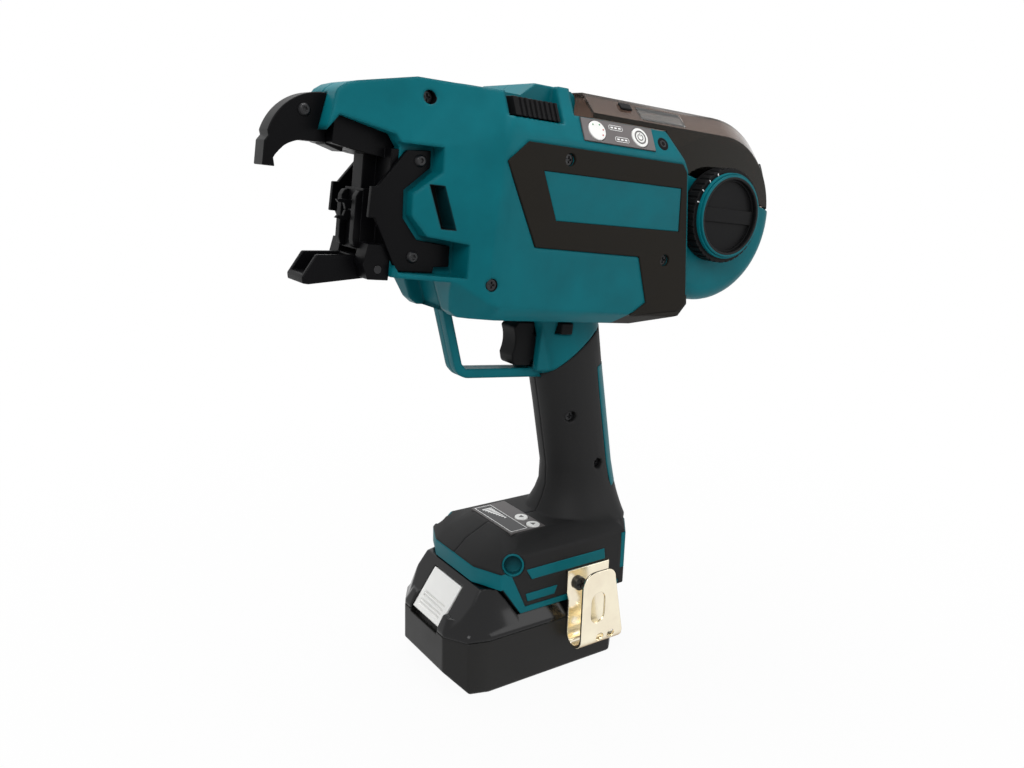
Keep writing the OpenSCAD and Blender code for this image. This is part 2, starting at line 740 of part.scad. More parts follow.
// Smoked cover over the reel, hinged at its front
bevel_hw = bay_hw - 12;
bevel_r = cover_r - 10.5;
cover_profile = [[0, -bay_hw], [bevel_r, -bay_hw], [cover_r, -bevel_hw], [cover_r, bevel_hw],
    [bevel_r, bay_hw], [0, bay_hw]];
inner_hw = bay_hw - bay_wall;
inner_bevel = bevel_hw - bay_wall * 0.42;
cover_inner = [
    [0, -inner_hw], [bevel_r - bay_wall * 0.4, -inner_hw], [cover_r - bay_wall, -inner_bevel],
    [cover_r - bay_wall, inner_bevel], [bevel_r - bay_wall * 0.4, inner_hw], [0, inner_hw]
];
lip_t = 3;
lip_profile = [
    [cover_r, -bevel_hw], [cover_r + lip_t, -bevel_hw + 1], [cover_r + lip_t, bevel_hw - 1],
        [cover_r, bevel_hw]
];
cover_front = hinge_u + hinge_r + 1;
cover_zone = [
    [hinge_u, deck_w + case_gap], [deck_end_u + case_gap, deck_w + case_gap],
    [tail_u - tail_lean + case_gap, part_w(tail_u - tail_lean) + case_gap],
    [reel_u + 75, part_w(reel_u + 75) + case_gap], [reel_u + 75, crown_w + 10], [hinge_u, crown_w + 10]
];
// Drum with a straight run forward over the deck
module cover_form(profile, front) {
    drum(profile);
    along_u(front, reel_u) polygon([for (p = profile) [p.y, reel_w + p.x]]);
}
module reel_cover() {
    color([0.25, 0.2, 0.18, 0.6]) in_barrel() {
        difference() {
            union() {
                difference() {
                    intersection() {
                        cover_form(cover_profile, cover_front);
                        along_y(far) polygon(cover_zone);
                    }
                    cover_form(cover_inner, cover_front + bay_wall);
                    window_cut(0);
                }
                on_side(1, -lug_in + fit_gap, lug_in - fit_gap) polygon(concat(
                    arc([hinge_u, hinge_w], hinge_r, 90, 330, 16),
                    [[cover_front + bay_wall, hinge_w - 2], [cover_front + bay_wall, crown_w]]
                ));
            }
            bar_y(hinge_u, hinge_w, hinge_pin_r + pin_gap, -lug_in, lug_in);
        }
    }
}
// Clear window on the left bevel of the cover
win_u0 = deck_end_u - 16;
win_u1 = win_u0 + 33;
module window_cut(gap) {
    along_u(win_u0 + gap, win_u1 - gap) polygon([
        [-bay_hw - 1, reel_w + bevel_r + 1.2 + gap], [-bevel_hw - 2.5 - gap, reel_w + cover_r + 1],
        [-bevel_hw - 2.5 - gap, reel_w + cover_r - 8], [-bay_hw + 5, reel_w + bevel_r + 1.2 + gap]
    ]);
}
module cover_window() {
    color([0.8, 0.85, 0.85, 0.5]) in_barrel() intersection() {
        difference() {
            cover_form(cover_profile, cover_front);
            cover_form(cover_inner, cover_front + bay_wall);
        }
        window_cut(0);
    }
}
module cover_lip() {
    color(black) in_barrel() intersection() {
        drum(lip_profile);
        along_y(far) polygon([
            [reel_u, reel_w], [reel_u + 90, part_w(reel_u + 55) + 4], [reel_u + 90, reel_w + 65]
        ]);
    }
}
bevel_slope = atan2(cover_r - bevel_r, bay_hw - bevel_hw);
catch_down = 9;
module cover_catch() {
    color(black) in_barrel() translate([cover_front + 22, -bevel_hw, crown_w])
        rotate([bevel_slope, 0, 0]) block([0, -catch_down, 0], [8, 5 - catch_down, 1.4]);
}
module cover_hinge_pin() {
    color(steel) in_barrel() bar_y(hinge_u, hinge_w, hinge_pin_r, -lug_out, lug_out);
}

// Ridged knob on the spindle's end, with its ring
knob_back = bay_hw + 0.6;
knob_step = knob_back + 9;
knob_face = knob_back + 12.4;
ring_r = knob_r - 3.8;
knob_sunk = 3.6;
ridges = 40;
ridge_r = 0.9;
module reel_knob() {
    color(black) in_barrel() difference() {
        union() {
            bar_y(reel_u, reel_w, knob_r, -knob_step, -knob_back);
            bar_y(reel_u, reel_w, ring_r + 1.2, -knob_face + 1.2, -knob_back);
        }
        for (i = [0:ridges - 1])
            translate([reel_u, 0, reel_w]) rotate([0, i * 360 / ridges, 0]) translate([knob_r + 0.3, 0, 0])
                bar_y(0, 0, ridge_r, -knob_step - 1, -knob_back - 2);
        // Two grip recesses with a ridge left between them
        for (s = [-1, 1])
            intersection() {
                bar_y(reel_u, reel_w, ring_r - 3.5, -knob_face, -knob_face + knob_sunk);
                translate([reel_u, 0, reel_w])
                    block([-far, -far, s < 0 ? -far : 4], [far, far, s < 0 ? -4 : far]);
            }
        bar_y(reel_u, reel_w, ring_r, -knob_face - 1, -knob_face + 2.2);
        bar_y(reel_u, reel_w, spindle_r + pin_gap, -spindle_end - 0.2, -knob_back + 1);
    }
}
module knob_ring() {
    color(teal) in_barrel() difference() {
        bar_y(reel_u, reel_w, ring_r, -knob_face, -knob_face + 2.2);
        bar_y(reel_u, reel_w, ring_r - 2.4, -knob_face - 1, -knob_face + 3);
    }
}

// Wire reel: spool, plain core of wire and the outer layer wound over it
reel_hw = flange_in - 2.6;
reel_flange_t = 2.6;
core_r = reel_r - 8;
wind_hw = reel_hw - reel_flange_t - 1;
wind_r = core_r + wire_d / 2 + 0.5;
wind_pitch = (2 * wind_hw - wire_d) / wire_turns;
module wire_reel() {
    color("#a5452b") in_barrel() difference() {
        union() {
            bar_y(reel_u, reel_w, spindle_r + 12, -reel_hw, reel_hw);
            for (s = [-1, 1])
                on_side_disc(s);
        }
        bar_y(reel_u, reel_w, spindle_r + pin_gap, -reel_hw - 1, reel_hw + 1);
    }
}
module on_side_disc(s) {
    difference() {
        bar_y(reel_u, reel_w, reel_r, s < 0 ? -reel_hw : reel_hw - reel_flange_t,
            s < 0 ? reel_flange_t - reel_hw : reel_hw);
        for (i = [0:5])
            translate([reel_u, 0, reel_w]) rotate([0, i * 60, 0])
                bar_y(spindle_r + 20, 0, 6, -reel_hw - 1, reel_hw + 1);
    }
}
module wire_core() {
    color(steel) in_barrel() difference() {
        bar_y(reel_u, reel_w, core_r, reel_flange_t - reel_hw, reel_hw - reel_flange_t);
        bar_y(reel_u, reel_w, spindle_r + 12, -reel_hw, reel_hw);
    }
}
wind_steps = 24;
function wind_point(i) = let (a = 360 * i / wind_steps) [
    wind_r * cos(a), wind_r * sin(a), wire_d / 2 - wind_hw + wind_pitch * i / wind_steps
];
// Ring of six points about the wire at a step, moved along the wire at the ends
function wind_ring(i, shift) = let (a = 360 * i / wind_steps, c = wind_point(i)) [
    for (k = [0:5]) let (b = 60 * k) [
        c.x + wire_d / 2 * cos(b) * cos(a) - shift * sin(a),
        c.y + wire_d / 2 * cos(b) * sin(a) + shift * cos(a),
        c.z + wire_d / 2 * sin(b)
    ]
];
wind_last = wind_steps * wire_turns;
wind_gap = min([for (i = [0:wind_last - wind_steps - 1]) for (k = [-1:1])
    norm(wind_point(i + wind_steps + k) - wind_point(i))]) - wire_d;
module wire_winding() {
    echo(least_gap_of_the_winding = wind_gap);
    color("#8d8f93") in_barrel() translate([reel_u, 0, reel_w]) rotate([90, 0, 0]) skin(concat(
        [wind_ring(0, -wire_d)], [for (i = [0:wind_last]) wind_ring(i, 0)], [wind_ring(wind_last, wire_d)]
    ));
}

// Jaw: frame on the barrel's front wall
jaw_u = front_u - 12;
frame_top = nose_top - 5;
frame_nose = nose_u + 7;
pivot_u = front_u - 6;
pivot_w = chin_w;
pivot_r = 2;
boss_r = 5.6;
boss_gap = 0.4;
lug_gap = 0.5;
tip_u = front_u - arm_reach;
blade_u0 = jaw_u - 5;
blade_u1 = jaw_u - 1;
blade_hw = 5;
post_hw = 5.5;
jaw_hw = trough_hw + lug_gap;
arm_r = 27.2;
arm_c = [tip_u + arm_r, nose_low - 10.2];
channel_r = wire_w - arm_c.y;
channel_hw = 1.2;
module jaw_frame() {
    color(black) in_barrel() difference() {
        union() {
            block([jaw_u, -jaw_hw, pivot_w + boss_r + 2.5], [front_u, jaw_hw, axis_w + 11]);
            block([jaw_u + 1, -post_hw, axis_w + 10], [front_u, post_hw, nose_low - 7]);
            block([front_u - 4, -cheek_in, pivot_w], [front_u, cheek_in, nose_low - 4.5]);
            along_y(2 * frame_hw) polygon([
                [frame_nose, frame_top], [frame_nose, nose_low - 5.5], [front_u - 22, nose_low - 7],
                [jaw_u + 1, nose_low - 8.5], [front_u, nose_low - 9.5], [front_u, frame_top]
            ]);
            along_y(2 * arm_hw) polygon([
                [frame_nose, nose_low - 5], [frame_nose, nose_low - 6.3], [front_u - 22, nose_low - 8.8],
                [front_u - 22, nose_low - 5]
            ]);
            for (s = [-1, 1])
                on_side(s, trough_hw + lug_gap, cheek_in) polygon([
                    [front_u - 11, pivot_w - 5], [front_u, pivot_w - 5], [front_u, pivot_w + 12],
                    [front_u - 12, pivot_w + 12], [front_u - 14, pivot_w + 2]
                ]);
        }
        bar_u(axis_w, twister_r + pin_gap, jaw_u - 1, front_u + 1);
        bar_u(wire_w, 3 + pin_gap, jaw_u, front_u + 1);
        bar_u(wire_w, 1.2, frame_nose - 1, jaw_u + 1);
        bar_y(pivot_u, pivot_w, pivot_r + pin_gap, -cheek_in - 1, cheek_in + 1);
        bar_y(pivot_u, pivot_w, boss_r + boss_gap, -jaw_hw, jaw_hw);
        block([blade_u0 - 0.1, -blade_hw - 0.1, nose_low - 20],
            [blade_u1 + 0.1, blade_hw + 0.1, nose_low + 5]);
    }
}
module upper_arm() {
    color("#3a3a3d") in_barrel() difference() {
        along_y(2 * arm_hw) polygon(concat(
            [[frame_nose, nose_low - 5.5], [frame_nose, frame_top]],
            arc(arm_c, arm_r, 90, 165, 20),
            [[tip_u + 1.6, nose_low - 5.3], [tip_u - 0.2, nose_low - 7.7], [tip_u - 0.5, nose_low - 18.8],
             [tip_u + 5.4, nose_low - 18.8]],
            arc([tip_u + 19.5, nose_low - 22], 16.5, 155, 100, 10)
        ));
        // Curved way of the wire through the arm
        along_y(2 * channel_hw) polygon(concat(
            arc(arm_c, channel_r + channel_hw, 80, 205, 24), arc(arm_c, channel_r - channel_hw, 205, 80, 24)
        ));
        for (s = [-1, 1])
            bar_y(arm_bolt.x, arm_bolt.y, cheek_bolt_r + pin_gap, s * arm_hw - arm_bolt_deep,
                s * arm_hw + arm_bolt_deep);
    }
}
module lower_arm() {
    color("#2c2c2f") in_barrel() difference() {
        along_y(2 * trough_hw) polygon(concat(
            [[tip_u + 27, chin_w + 4.5], [tip_u + 20.5, chin_w - 6.5], [tip_u + 21, chin_w - 9.5],
             [tip_u + 24, chin_w - 9.8]],
            arc([pivot_u, pivot_w], boss_r, 260, 450, 14),
            [[pivot_u - 6, pivot_w + boss_r]]
        ));
        along_y(2 * trough_hw - 5) polygon([
            [tip_u + 15, chin_w + 10], [tip_u + 15, chin_w - 5], [pivot_u - 9, chin_w - 4.5],
                [pivot_u - 7, chin_w + 10]
        ]);
        bar_y(pivot_u, pivot_w, pivot_r + pin_gap, -trough_hw - 1, trough_hw + 1);
    }
}
module lower_arm_pin() {
    color(steel) in_barrel() bar_y(pivot_u, pivot_w, pivot_r, -cheek_in, cheek_in);
}
module wire_guides() {
    color("#4a4a4d") in_barrel() for (s = [-1, 1])
        on_side(s, 6, 10.5) polygon([
            [jaw_u, axis_w - 18], [jaw_u - 2.5, axis_w - 17], [jaw_u - 3.5, axis_w - 14],
            [jaw_u - 3.5, axis_w + 7], [jaw_u - 2, axis_w + 9.5], [jaw_u, axis_w + 10]
        ]);
}
module cheek_plate(side) {
    in_barrel() difference() {
        on_side(side, cheek_in, cheek_in + cheek_t) polygon(cheek_outline);
        for (p = cheek_bolts)
            bar_y(p.x, p.y, cheek_bolt_r + pin_gap, side * cheek_in - 5, side * cheek_in + 5);
    }
}
module left_cheek_plate() { color(black) cheek_plate(-1); }
module right_cheek_plate() { color(black) cheek_plate(1); }

// Button-head screws of the jaw, with their sockets
button_r = 3.2;
arm_bolt = [nose_u - 4.5, nose_low + 8];
arm_bolt_deep = 3;
button_t = 1.6;
module button_screw(p, side, y, shank) {
    translate([p.x, side * y, p.y]) rotate([side * -90, 0, 0]) difference() {
        union() {
            cylinder(r1 = button_r, r2 = button_r - 1, h = button_t);
            translate([0, 0, -shank]) cylinder(r = cheek_bolt_r, h = shank);
        }
        translate([0, 0, 0.6]) cylinder(r = 1.2, h = button_t, $fn = 6);
    }
}
module jaw_screws() {
    color("#7c7c80") in_barrel() for (s = [-1, 1]) {
        for (p = cheek_bolts)
            button_screw(p, s, cheek_in + cheek_t, cheek_t + 2.8);
        button_screw(arm_bolt, s, arm_hw, arm_bolt_deep);
    }
}
// Cross-recess screw heads in the wells
module pan_head(r) {
    difference() {
        cylinder(r = r, h = screw_head_t);
        for (a = [0, 90])
            rotate([0, 0, a]) translate([-r * 0.6, -0.45, screw_head_t - 1]) cube([r * 1.2, 0.9, 2]);
    }
}
module head_at(p, side, y) {
    translate([p.x, side * y, p.y]) rotate([side * -90, 0, 0]) pan_head(screw_head_r);
}
module housing_screws() {
    color("#2a2a2c") {
        in_barrel() for (s = [-1, 1]) {
            for (p = concat(panel_holes, [belly_screw]))
                head_at(p, s, body_hw - well_deep);
            for (p = deep_screws)
                head_at(p, s, deep_well_y - 6);
        }
        in_body() {
            for (s = [-1, 1])
                for (p = grip_screws)
                    head_at(p, s, grip_well_y);
            translate([hook_screw_x, -foot_hw - hook_t, hook_screw_z]) rotate([90, 0, 0]) pan_head(4);
            bar_y(hook_screw_x, hook_screw_z, hook_screw_r, -foot_hw - hook_t, hook_hole_deep - foot_hw);
        }
    }
}

// Drive inside the barrel
gear_case_u0 = crease_u + 13;
gear_case_r = cave_hw - 0.3;
motor_u1 = cave_u + 65;
module wire_tube() {
    color("#c9a45c") in_barrel() difference() {
        bar_u(wire_w, 3, jaw_u, feed_u - 11.5);
        bar_u(wire_w, 1, jaw_u - 1, feed_u);
    }
}
module gear_case() {
    color("#77787b") in_barrel() difference() {
        union() {
            bar_u(axis_w, gear_case_r, gear_case_u0, cave_u + 2);
            bar_u(axis_w, gear_case_r - 4, gear_case_u0 - 1, gear_case_u0);
        }
        bar_u(axis_w, twister_r + pin_gap, gear_case_u0 - 2, gear_case_u0 + 12);
    }
}
module twist_motor() {
    color("#55565a") in_barrel() difference() {
        union() {
            bar_u(axis_w, 21, cave_u + 2, motor_u1);
            bar_u(axis_w, 6, motor_u1, motor_u1 + 4);
            block([cave_u + 20, -12, floor_w + 1.6], [cave_u + 40, 12, axis_w - 15]);
        }
        for (i = [0:7])
            translate([cave_u + 50, 0, axis_w]) rotate([i * 45, 0, 0]) block([0, -3, 17], [12, 3, 24]);
    }
}
module feed_motor() {
    color("#55565a") in_barrel() {
        bar_w(feed_u, gear_off, 12, feed_w0 - 19, feed_w0 - 3);
        block([feed_u - 12, gear_off, feed_w0 - 5], [feed_u + 12, main_hw, feed_w0 - 3]);
        bar_w(feed_u, gear_off, gear_pin_r, feed_w0 - 3, feed_w1 - 0.5);
        bar_w(feed_u, gear_off, gear_pin_r + 1.5, feed_w0 - 3, feed_w0 - 0.2);
    }
}
// Spur gear with plain flanks, standing on its face
gear_tip = 10.8;
gear_root = 8.9;
module spur(turn) {
    rotate([0, 0, turn]) linear_extrude(feed_w1 - feed_w0) polygon([
        for (i = [0:gear_teeth - 1])
            for (q = [[-5.2, gear_root], [-2, gear_tip], [2, gear_tip], [5.2, gear_root]])
            let (a = 360 * i / gear_teeth + q.x) [q.y * cos(a), q.y * sin(a)]
    ]);
}
module feed_gear() {
    color(steel) in_barrel() translate([feed_u, gear_off, feed_w0]) difference() {
        spur(0);
        translate([0, 0, -1]) cylinder(r = gear_pin_r + pin_gap, h = 20);
    }
}
module pressure_gear() {
    color(steel) in_barrel() translate([feed_u, -gear_off, feed_w0]) difference() {
        spur(180 / gear_teeth);
        translate([0, 0, -1]) cylinder(r = gear_pin_r + pin_gap, h = 20);
    }
}
// Release lever: ribbed pad outside, arm inside, stub pin of the pressure gear
pad_in = 26;
pad_top = roof_w - 2;
module release_lever() {
    color(black) in_barrel() difference() {
        union() {
            along_u(pad_u0, pad_u1) polygon([
                [-lean_hw(lever_w0) - 0.8, lever_w0], [-lean_hw(pad_top) - 0.8, pad_top],
                    [-pad_in, pad_top], [-pad_in, lever_w0]
            ]);
            block([lever_u - 5, -pad_in - 1, lever_w0], [lever_u + 5, lever_y + 5, lever_w0 + lever_t]);
            block([lever_u, lever_y - 3, lever_w0], [feed_u + 4, -gear_off + 4, lever_w0 + lever_t]);
            bar_w(feed_u, -gear_off, gear_pin_r, feed_w0 + 0.5, lever_w0 + 1);
            bar_w(feed_u, -gear_off, gear_pin_r + 1.5, feed_w1 + 0.2, lever_w0 + 1);
        }
        for (u = [pad_u0 + 3:3:pad_u1 - 3])
            translate([u, -lean_hw(lever_w0) - 0.8, lever_w0]) rotate([lean_a - 90, 0, 0])
                block([0, -1, -3], [1.4, 1, 20]);
        bar_w(lever_u, lever_y, hinge_pin_r + pin_gap, lever_w0 - 1, lever_w0 + lever_t + 1);
    }
}
module lever_pin() {
    color(steel) in_barrel() bar_w(lever_u, lever_y, hinge_pin_r, main_top_w - 1, roof_w - 3);
}
module twister_shaft() {
    color(steel) in_barrel() {
        bar_u(axis_w, twister_r, jaw_u, gear_case_u0 + 11);
        bar_u(axis_w, 12, crease_u + 2, gear_case_u0 - 2);
    }
}
module twister_hooks() {
    color("#6d6e72") in_barrel() translate([0, 0, axis_w]) for (t = [0, 180])
        rotate([t, 0, 0]) along_y(2) polygon([
            [jaw_u, 0.2], [jaw_u, twister_r - 0.4], [jaw_u - 6, twister_r], [jaw_u - 9, twister_r - 0.6],
            [jaw_u - 8, twister_r - 1.8], [jaw_u - 5, twister_r - 2], [jaw_u - 4, 0.2]
        ]);
}
module cutter_blade() {
    color("#8a8b90") in_barrel() along_y(2 * blade_hw) polygon([
        [blade_u0, nose_low - 7.3], [blade_u1, nose_low - 8.3], [blade_u1, nose_low + 1],
            [blade_u0, nose_low + 1]
    ]);
}

// Boards and switch
module control_board() {
    color("#1f5a3a") in_barrel() {
        block([cave_u + 3, -24, floor_w], [main_end_u - 6, 24, floor_w + 1.6]);
        bar_w(cave_u + 60, 17, 4, floor_w + 1.6, floor_w + 12);
        bar_w(cave_u + 60, -17, 4, floor_w + 1.6, floor_w + 12);
        block([cave_u + 46, -8, floor_w + 1.6], [cave_u + 56, 8, floor_w + 5]);
    }
}
module trigger_switch() {
    color("#26262a") in_barrel()
        block([trigger_back + trigger_travel + 3, -handle_cave_hw, trigger_low + 1],
                                       [trigger_back + trigger_travel + 19, handle_cave_hw, lock_w0 - 2]);
}
module terminal_block() {
    color("#26262a") in_body() difference() {
        block([-12, -20, bay_top - 3.4], [30, 20, bay_top]);
        for (y = [-12, 0, 12])
            block([-14, y - 2, bay_top - 4], [12, y + 2, bay_top - 1.4]);
    }
}

// Keypad and display, with their buttons
module keypad() {
    color("#8b8d90") in_barrel() on_lean() difference() {
        block([key_u0, key_v0, -key_deep], [key_u0 + key_len, key_v1, key_proud]);
        for (u = key_us)
            translate([u, key_v, -key_deep - 1]) cylinder(r = key_r + fit_gap, h = 10);
    }
}
module key(u) {
    in_barrel() on_lean() translate([u, key_v, -key_deep + key_travel + 0.2])
        cylinder(r = key_r, h = key_deep - key_travel + 0.8);
}
module mode_button() { color("#e9e9e7") key(key_us[0]); }
module power_button() { color("#e9e9e7") key(key_us[1]); }
module display_panel() {
    color("#6f6a68") in_body() difference() {
        block([disp_x0, -disp_hw, foot_top - disp_sink], [disp_x1, disp_hw, foot_top - disp_sink + disp_t]);
        for (y = arrow_ys)
            bar_w(arrow_x, y, arrow_r + fit_gap, foot_top - 5, foot_top + 5);
    }
}
module arrow_key(y) {
    in_body() bar_w(arrow_x, y, arrow_r, foot_top - arrow_deep + key_travel + 0.3, foot_top + 0.9);
}
module down_button() { color("#f2f2f0") arrow_key(arrow_ys[0]); }
module up_button() { color("#f2f2f0") arrow_key(arrow_ys[1]); }

// Trigger and its lock bar
module trigger() {
    color(black) in_barrel() along_y(2 * trigger_hw) polygon(concat(
        [[trigger_front + 2, trigger_top]],
        arc([trigger_front - 17, -15], 18.3, 28, -22, 10),
        arc([trigger_front + 4, trigger_low + 3], 3, 190, 270, 4),
        [[2, trigger_low], [2, trigger_low + 3], [trigger_back, trigger_low + 3],
            [trigger_back, lock_w0 - 2.5],
         [2, lock_w0 - 2.5], [2, trigger_top]]
    ));
}
module trigger_lock() {
    color(black) in_barrel() block([lock_u0, -lock_hw, lock_w0], [lock_u1, lock_hw, lock_w1]);
}

// Belt hook of folded sheet on the foot's left side
hook_low = 23.5;
hook_bend = 5.6;
// The inner leaf steps out below the foot to clear the battery's side
hook_side = max(foot_hw, batt_w / 2 + fit_gap);
hook_step_z = foot_low + 1;
hook_step = 4;
hook_out = hook_side + hook_t + 2 * hook_bend;
hook_slot_x = hook_x0 + 11.5;
hook_slot_r = 5;
hook_tip = hook_fold_z + 4.8;
module belt_hook() {
    color("#c9b48a") in_body() difference() {
        union() {
            along_u(hook_x0, hook_x1) polygon([
                [-foot_hw, hook_fold_z + hook_t], [-foot_hw, hook_step_z + hook_step],
                [-hook_side, hook_step_z], [-hook_side, hook_low],
                [-hook_side - hook_t, hook_low], [-hook_side - hook_t, hook_step_z],
                [-foot_hw - hook_t, hook_step_z + hook_step], [-foot_hw - hook_t, hook_fold_z + hook_t]
            ]);
            block([hook_x0, -foot_hw, hook_fold_z], [hook_x1, 2 - foot_hw, hook_fold_z + hook_t]);
            intersection() {
                translate([hook_x0, -hook_side - hook_t - hook_bend, hook_low]) rotate([0, 90, 0])
                    difference() {
                    cylinder(r = hook_bend + hook_t, h = hook_x1 - hook_x0);
                    translate([0, 0, -1]) cylinder(r = hook_bend, h = hook_x1 - hook_x0 + 2);
                }
                block([hook_x0, -far, -far], [hook_x1, far, hook_low]);
            }
            on_side(-1, hook_out, hook_out + hook_t) polygon(concat(
                [[hook_x0, hook_low], [hook_x1, hook_low]],
                arc([hook_x1 - 13, hook_tip - 6], 6, 0, 90), arc([hook_x0 + 9, hook_tip - 9], 9, 90, 180)
            ));
        }
        // Long slot in the outer leaf, notches at the bend and a slot in the inner leaf
        on_side(-1, hook_out - 1, hook_out + hook_t + 1) polygon(concat(
            arc([hook_slot_x, hook_tip - 18], hook_slot_r, 0, 180, 12),
            arc([hook_slot_x, hook_low + 14], hook_slot_r, 180, 360, 12)
        ));
        for (x = [hook_slot_x + 2.5, hook_slot_x + 10.5])
            bar_y(x, hook_low - 1, 2.6, -hook_out - hook_t - 1, -hook_out + 4);
        bar_y(hook_screw_x, hook_screw_z, hook_screw_r + 0.2, -foot_hw - hook_t - 1, -foot_hw + 1);
    }
}

// Slide battery: plan outline at a height, lower and upper moulding
batt_hl = batt_len / 2;
batt_hw = batt_w / 2;
function batt_ring(z, d) = [
    for (p = [[d - batt_hl, batt_front_hw - d / 2], [d - batt_hl + 8.5, batt_hw - 3.5 - d],
        [d - batt_hl + 20, batt_hw - d],
              [batt_hl - 6 - d, batt_hw - d], [batt_hl - d, batt_hw - 6 - d],
                  [batt_hl - d, 6 - batt_hw + d],
              [batt_hl - 6 - d, d - batt_hw], [d - batt_hl + 20, d - batt_hw],
                  [d - batt_hl + 8.5, 3.5 - batt_hw + d],
              [d - batt_hl, d / 2 - batt_front_hw]])
        [p.x, p.y, z]
];
batt_bevel = 10.5;
cell_r = 9;
cell_len = 62;
cell_pitch = 18.4;
cell_bay = [-47, -cell_len / 2 - 0.4, 3];
shoulder_top = foot_low - 0.6;
tower_top = band_low - 0.6;
tower_u0 = band_low - batt_seam - 9;
rail_x0 = edge_u1 + barrel_x + 3;
button_hw = 15;
slope_a = atan2(tower_top - batt_seam, tower_u0);
slope_len = (tower_top - batt_seam) / sin(slope_a);
module battery_case() {
    color(black) difference() {
        skin([batt_ring(0, 1.2), batt_ring(1.2, 0), batt_ring(batt_seam, 0)]);
        block(cell_bay, [47, cell_len / 2 + 0.4, batt_seam + 1]);
        along_y(far) polygon([
            [-batt_hl - 2, batt_bevel + 2], [batt_bevel + 2 - batt_hl, -2], [-batt_hl - 2, -2]
        ]);
        button_pocket();
    }
}
// Frame on the slanted front of the upper moulding: x up the slope, y across, z outwards
module on_slope() {
    translate([-batt_hl, 0, batt_seam]) rotate([0, -slope_a, 0]) children();
}
// Pocket of the release button, open a little into the lower moulding
module button_pocket() {
    on_slope() block([2.5 - button_travel, -button_hw - fit_gap, -5],
        [slope_len - 4.5, button_hw + fit_gap, 5]);
}
module battery_top() {
    color("#161618") difference() {
        union() {
            skin([batt_ring(batt_seam, 0), batt_ring(batt_seam + 3, 0.2), batt_ring(shoulder_top, 4)]);
            intersection() {
                along_y(far) polygon([
                    [0.2 - batt_hl, batt_seam], [tower_u0 - batt_hl, tower_top],
                        [edge_u0 + barrel_x - 1, tower_top],
                    [edge_u1 + barrel_x - 1, shoulder_top - 1], [edge_u1 + barrel_x - 1, batt_seam]
                ]);
                skin([batt_ring(batt_seam, 0.2), batt_ring(tower_top, 7)]);
            }
            block([rail_x0, -rail_hw, shoulder_top - 2], [batt_hl - 10, rail_hw, rail_top]);
        }
        block([cell_bay.x, cell_bay.y, batt_seam - 1], [47, -cell_bay.y, cell_bay.z + cell_r * 4 + 0.8]);
        button_pocket();
        for (s = [-1, 1])
            block([rail_x0 - 1, s < 0 ? -rail_hw - 1 : rail_hw - 2.5, rail_top - 7],
                  [batt_hl, s < 0 ? 2.5 - rail_hw : rail_hw + 1, rail_top - 3]);
    }
}
module battery_cells() {
    color("#4b6fa8") for (i = [-2:2]) for (k = [0, 1])
        bar_y(i * cell_pitch, cell_bay.z + cell_r + k * (2 * cell_r + 0.1), cell_r, -cell_len / 2,
            cell_len / 2);
}
button_travel = 3.5;
module battery_button() {
    color("#eceae6") on_slope() difference() {
        block([2.7, -button_hw, -5], [slope_len - 4.8, button_hw, 0.3]);
        for (k = [0:3])
            block([6 + 2.4 * k, -button_hw + 4, -0.5], [7 + 2.4 * k, button_hw - 4, 1]);
    }
}

left_housing();
right_housing();
left_side_panel();
right_side_panel();
left_nameplate();
right_nameplate();
left_grip();
right_grip();
foot_band();
trim_inlays();
reel_case();
reel_spindle();
jaw_frame();
upper_arm();
wire_guides();
left_cheek_plate();
right_cheek_plate();
jaw_screws();
housing_screws();
wire_tube();
gear_case();
twist_motor();
feed_motor();
control_board();
trigger_switch();
terminal_block();
keypad();
display_panel();
belt_hook();
cover_hinge_pin();
lower_arm_pin();
lever_pin();
trigger();
trigger_lock();
mode_button();
power_button();
down_button();
up_button();
reel_knob();
knob_ring();
wire_reel();
wire_core();
wire_winding();
reel_cover();
cover_lip();
cover_window();
cover_catch();
lower_arm();
feed_gear();
pressure_gear();
release_lever();
twister_shaft();
twister_hooks();
cutter_blade();
battery_case();
battery_top();
battery_cells();
battery_button();
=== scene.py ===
"""Looks of a battery rebar tying tool: rounded mouldings, finishes, printed marks, wound wire and a stage."""

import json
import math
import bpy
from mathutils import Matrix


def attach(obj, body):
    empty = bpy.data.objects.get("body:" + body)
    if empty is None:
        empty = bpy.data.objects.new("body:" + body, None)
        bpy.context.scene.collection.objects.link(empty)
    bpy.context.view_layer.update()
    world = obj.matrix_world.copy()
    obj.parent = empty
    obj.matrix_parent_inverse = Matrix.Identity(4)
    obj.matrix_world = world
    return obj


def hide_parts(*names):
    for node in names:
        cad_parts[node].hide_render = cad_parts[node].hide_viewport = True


bl_info = {
    "name": "Rebar tying tool",
    "version": (1, 0, 0),
    "blender": (4, 5, 0),
    "location": "3D View > Sidebar > Tying tool",
    "description": "Dresses the packed tying tool with rounded pieces, procedural finishes and a stage",
    "category": "Object",
}

import bmesh
import bpy
from bpy.props import FloatProperty, FloatVectorProperty, IntProperty, PointerProperty
from bpy.types import Operator, Panel, PropertyGroup
from mathutils import Matrix, Vector
from mathutils.bvhtree import BVHTree
from mathutils.kdtree import KDTree

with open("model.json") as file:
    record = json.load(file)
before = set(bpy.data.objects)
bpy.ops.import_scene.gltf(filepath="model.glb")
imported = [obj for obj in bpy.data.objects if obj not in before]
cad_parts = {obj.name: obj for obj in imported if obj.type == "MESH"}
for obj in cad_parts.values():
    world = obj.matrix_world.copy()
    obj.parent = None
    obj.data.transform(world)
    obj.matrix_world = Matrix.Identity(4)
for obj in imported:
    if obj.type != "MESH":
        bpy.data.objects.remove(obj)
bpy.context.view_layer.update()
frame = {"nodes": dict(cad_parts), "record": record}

MM = 0.001
FULL_TURN = 2 * math.pi

